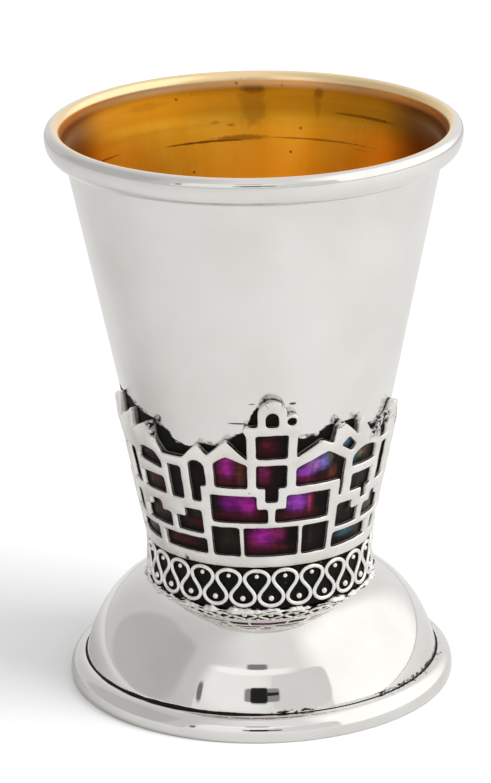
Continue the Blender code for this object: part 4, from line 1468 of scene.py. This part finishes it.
def wire_finish():
    """Drawn wire and granules: bright on top, dark where they touch the ground."""
    made, tree, shader = new_material("collar silver", BLACK_GLOSS)
    place = object_place(tree)
    marks = use_group(tree, handling, Vector=place, Rings=0.3, Clouds=1.0)
    xyz = add_node(tree, "ShaderNodeSeparateXYZ", Vector=place)
    radius = calc(tree, "SQRT", calc(tree, "ADD", calc(tree, "POWER", xyz.outputs["X"], 2.0),
                                     calc(tree, "POWER", xyz.outputs["Y"], 2.0)))
    sunk = calc(tree, "DIVIDE", calc(tree, "SUBTRACT", collar_ground + WIRE_BLACK, radius), MM)
    low = use_group(tree, ragged, Vector=place, Distance=sunk, Wander=0.12, Scale=1200.0,
                    Softness=0.12).outputs["Mask"]
    tree.links.new(blend_colours(tree, low, (0.86, 0.84, 0.80), OXIDE), shader.inputs["Base Color"])
    tree.links.new(between(tree, low, 0.0, 1.0, 1.0, 0.1), shader.inputs["Metallic"])
    tree.links.new(calc(tree, "ADD", marks.outputs["Roughness"], 0.14), shader.inputs["Roughness"])
    bump(tree, shader, grain(tree, place, 1500.0), 0.03 * MM, 0.5)
    return made


def oxide_finish():
    """Black all over, with bare metal on the highest grit."""
    made, tree, shader = new_material("blackened silver", BLACK_GLOSS)
    place = object_place(tree)
    grit = grain(tree, place, 1700.0, 5.0, 0.7)
    bare = between(tree, grit, 0.66, 0.74)
    tree.links.new(blend_colours(tree, calc(tree, "MULTIPLY", bare, 0.35), OXIDE, SILVER_DULL),
                   shader.inputs["Base Color"])
    tree.links.new(between(tree, grit, 0.3, 0.7, 0.35, 0.6), shader.inputs["Roughness"])
    shader.inputs["Metallic"].default_value = 0.1
    bump(tree, shader, grit, 0.12 * MM, 0.8)
    return made


def solder_finish():
    """Solder under the collar: bright lumps with black between them."""
    made, tree, shader = new_material("solder silver", BLACK_GLOSS)
    place = object_place(tree)
    lying = add_node(tree, "ShaderNodeMapping", Vector=place, Scale=(420.0, 420.0, 2400.0))
    grit = grain(tree, lying.outputs[0], 1.0, 5.0, 0.65)
    pits = between(tree, grit, 0.47, 0.38)
    tree.links.new(blend_colours(tree, pits, SILVER, OXIDE), shader.inputs["Base Color"])
    tree.links.new(between(tree, pits, 0.0, 1.0, 1.0, 0.2), shader.inputs["Metallic"])
    tree.links.new(between(tree, grit, 0.3, 0.7, 0.4, 0.15), shader.inputs["Roughness"])
    bump(tree, shader, grit, 0.18 * MM, 0.7)
    return made


for piece in (wire, granules):
    paint(piece, wire_finish())
for piece in (collar_base, joint_solder):
    paint(piece, oxide_finish())
paint(collar_solder, solder_finish())
print("collar and solder painted")

# %% [markdown]
# ## Enamel
# The colour comes from the mesh. Noise makes it cloudy and streaky, as glass ground by hand is,
# and a dark line of painted shade runs along the walls, where the enamel is deep. Glass is no metal,
# so its gloss is the shader's specular level, and it is kept low: sunk between the bars, it hardly shines.

# %% Finish of the enamel
def enamel_finish():
    made, tree, shader = new_material("enamel", BLACK_GLOSS)
    place = object_place(tree)
    tint = stored(tree, "tint").outputs["Color"]
    away = stored(tree, "edge").outputs["Fac"]
    cloud = grain(tree, place, 520.0, 5.0, 0.65)
    tall = add_node(tree, "ShaderNodeMapping", Vector=place, Scale=(1500.0, 1500.0, 160.0))
    streak = grain(tree, tall.outputs[0], 1.0, 3.0)
    flat = add_node(tree, "ShaderNodeMapping", Vector=place, Scale=(220.0, 220.0, 2100.0))
    layer = grain(tree, flat.outputs[0], 1.0, 3.0)
    shade = calc(tree, "MULTIPLY", between(tree, cloud, 0.25, 0.7, 0.55, 1.2),
                 between(tree, streak, 0.3, 0.7, 0.8, 1.15))
    shade = calc(tree, "MULTIPLY", shade, between(tree, layer, 0.35, 0.65, 0.75, 1.15))
    # painted shade: the enamel darker close to the walls of its cell
    rim = between(tree, away, 0.04, 0.4, 0.3, 1.0)
    shade = calc(tree, "MULTIPLY", shade, rim)
    grey = add_node(tree, "ShaderNodeCombineColor", Red=shade, Green=shade, Blue=shade).outputs[0]
    product = tree.nodes.new("ShaderNodeMix")
    product.data_type = "RGBA"
    product.blend_type = "MULTIPLY"
    product.inputs[0].default_value = 1.0
    tree.links.new(tint, product.inputs[6])
    tree.links.new(grey, product.inputs[7])
    tree.links.new(product.outputs[2], shader.inputs["Base Color"])
    shader.inputs["Roughness"].default_value = 0.2
    bump(tree, shader, cloud, 0.03 * MM, 0.5)
    return made


paint(enamel, enamel_finish())
print("enamel painted")

# %% [markdown]
# ## Floor, light and surroundings
# Silver shows what is round it, so the surroundings matter as much as the lamps. The cup stands
# on a pale floor in a light tent. A picture of silver is washed out to white at its edges, so the
# paper's colour for the camera is painted: painted shade keeps it grey near the cup, where its
# shadow lies, and painted light turns it white further off. The silver itself mirrors a greyer
# paper. Light Path tells the two kinds of ray apart.

# %% Floor
FLOOR_RADIUS = 2.4
FLOOR_SEEN = 0.79               # painted shade: how light the paper is near the cup, for the camera
FLOOR_MIRRORED = 0.6            # and in the silver
PAINTED_FLOOR_FADE = (0.15, 0.5)        # metres from the cup where painted light turns the paper white


def make_floor():
    verts, faces, _ = turned([(0.0, 0.0), (0.3, 0.0), (FLOOR_RADIUS, 0.0)], 96)
    mesh = bpy.data.meshes.new("floor")
    mesh.from_pydata(verts, [], [face[::-1] for face in faces])
    floor = bpy.data.objects.new("floor", mesh)
    bpy.context.scene.collection.objects.link(floor)
    made, tree, shader = new_material("pale floor", 0.0)
    seen = add_node(tree, "ShaderNodeLightPath").outputs["Is Camera Ray"]
    place = object_place(tree)
    away = add_node(tree, "ShaderNodeVectorMath", {"operation": "LENGTH"}, Vector=place).outputs["Value"]
    # painted shade near the cup, and painted light that turns the paper white further off
    painted_floor_tone = blend_colours(tree, between(tree, away, *PAINTED_FLOOR_FADE), (FLOOR_SEEN,) * 3, (1.0,) * 3)
    paper = blend_colours(tree, seen, (FLOOR_MIRRORED,) * 3, painted_floor_tone)
    tree.links.new(paper, shader.inputs["Base Color"])
    shader.inputs["Roughness"].default_value = 0.9
    paint(floor, made)
    return floor


floor = make_floor()
print("floor:", 2 * FLOOR_RADIUS, "m wide")

# %% [markdown]
# The tent could be built of sheets, but the silver only needs its brightness by direction. So it
# is the world's colour: soft white all round, a greyer wall on the left, the lamp's bright side
# on the right, an arched opening at the front, and the small dark shape of the camera in it.
# Each of these is a patch with its own place, size and softness, laid over those before it. The
# lamps are hidden from the silver, so that only the tent shows in it, and the picture itself
# sees plain white behind the floor.

# %% Surroundings
TENT = 0.91
# azimuth, elevation, half width and half height in degrees, squareness, softness, brightness
TENT_PATCHES = (
    (-100.0, 20.0, 70.0, 70.0, 2.0, 0.4, 0.66),     # the side away from the lamp is greyer
    (-98.0, 26.0, 36.0, 27.0, 3.5, 0.1, 0.55),      # a grey wall on the left
    (86.0, 29.0, 52.0, 42.0, 3.0, 0.25, 1.35),      # the lamp's bright side of the tent
    (-5.0, 0.0, 46.0, 44.0, 2.0, 0.02, 0.90),       # the tent's arched front opening
    (-24.0, 22.0, 22.0, 16.0, 3.0, 0.3, 1.0),       # a lighter patch in it
    (21.0, 20.0, 20.0, 14.0, 5.0, 0.05, 0.82),      # a grey panel in it
    (-12.0, 35.0, 29.0, 2.8, 5.0, 0.3, 1.14),       # a bright strip above
    (-9.0, 40.0, 8.0, 2.8, 5.0, 0.2, 0.25),         # a dark bar across the strip
    (-47.0, 15.0, 1.8, 6.5, 3.0, 0.3, 0.2),         # a narrow post beside the opening
    (-5.5, 17.0, 11.5, 4.6, 8.0, 0.08, 0.3),        # the grey round the camera
    (-7.5, 17.0, 5.6, 5.4, 8.0, 0.1, 0.02),         # the camera
    (1.0, 17.6, 4.6, 1.1, 8.0, 0.1, 0.03),          # a thin arm beside it
)


def patch_group():
    """One patch of the tent: an ellipse or a rounded box in azimuth and elevation."""
    takes = ("Azimuth", "Elevation", "Middle X", "Middle Y", "Half X", "Half Y", "Squareness", "Softness",
             "Brightness", "Behind")
    tree, given, out = new_group("tent patch", dict.fromkeys(takes, FLOAT), {"Value": FLOAT})
    socket = given.outputs
    total = 0.0
    for angle, middle, half in (("Azimuth", "Middle X", "Half X"), ("Elevation", "Middle Y", "Half Y")):
        off = calc(tree, "ABSOLUTE", calc(tree, "SUBTRACT", socket[angle], socket[middle]))
        share = calc(tree, "POWER", calc(tree, "DIVIDE", off, socket[half]), socket["Squareness"])
        total = calc(tree, "ADD", share, total)
    reach = calc(tree, "POWER", total, calc(tree, "DIVIDE", 1.0, socket["Squareness"]))
    depth = calc(tree, "DIVIDE", calc(tree, "SUBTRACT", 1.0, reach), socket["Softness"])
    mask = between(tree, depth, -1.0, 1.0)
    old = calc(tree, "MULTIPLY", calc(tree, "SUBTRACT", 1.0, mask), socket["Behind"])
    new = calc(tree, "MULTIPLY", mask, socket["Brightness"])
    tree.links.new(calc(tree, "ADD", old, new), out.inputs["Value"])
    return tree


def make_world():
    """Lays the patches over each other by direction; to the camera itself the world is white."""
    world = bpy.data.worlds.new("tent")
    bpy.context.scene.world = world
    world.use_nodes = True
    tree = world.node_tree
    toward = add_node(tree, "ShaderNodeTexCoord").outputs["Generated"]
    xyz = add_node(tree, "ShaderNodeSeparateXYZ", Vector=toward)
    turn = calc(tree, "ARCTAN2", xyz.outputs["X"], calc(tree, "MULTIPLY", xyz.outputs["Y"], -1.0))
    azimuth = calc(tree, "DEGREES", turn)
    elevation = calc(tree, "DEGREES", calc(tree, "ARCSINE", xyz.outputs["Z"]))
    patch = patch_group()
    value = TENT
    for middle_x, middle_y, half_x, half_y, squareness, softness, brightness in TENT_PATCHES:
        value = use_group(tree, patch, Azimuth=azimuth, Elevation=elevation, Middle_X=middle_x,
                          Middle_Y=middle_y, Half_X=half_x, Half_Y=half_y, Squareness=squareness,
                          Softness=softness, Brightness=brightness, Behind=value).outputs["Value"]
    seen = add_node(tree, "ShaderNodeLightPath").outputs["Is Camera Ray"]
    value = calc(tree, "MAXIMUM", value, seen)
    tree.links.new(value, tree.nodes["Background"].inputs["Color"])
    print("tent:", len(TENT_PATCHES), "patches, the camera's shape among them")


def direction(azimuth, elevation):
    """A direction from the cup; azimuth 0 is towards the tower's side, 90 towards +X."""
    a, e = math.radians(azimuth), math.radians(elevation)
    return (math.sin(a) * math.cos(e), -math.cos(a) * math.cos(e), math.sin(e))


def soft_light(name, azimuth, elevation, distance, size, watts):
    """A square soft box that points at the cup; the silver mirrors the tent instead of it."""
    lamp = bpy.data.lights.new(name, "AREA")
    lamp.shape = "SQUARE"
    lamp.size = size
    lamp.energy = watts
    box = bpy.data.objects.new(name, lamp)
    away = Vector(direction(azimuth, elevation))
    middle = Vector((0.0, 0.0, rim_top / 2))
    box.location = middle + away * distance
    box.rotation_mode = "QUATERNION"
    box.rotation_quaternion = away.to_track_quat("Z", "Y")
    box.visible_glossy = False
    bpy.context.scene.collection.objects.link(box)
    return box


make_world()
soft_light("key", azimuth=66.0, elevation=46.0, distance=0.75, size=0.4, watts=4.0)
soft_light("top", azimuth=-20.0, elevation=75.0, distance=0.9, size=0.6, watts=1.6)
bpy.context.scene.view_settings.view_transform = "Standard"
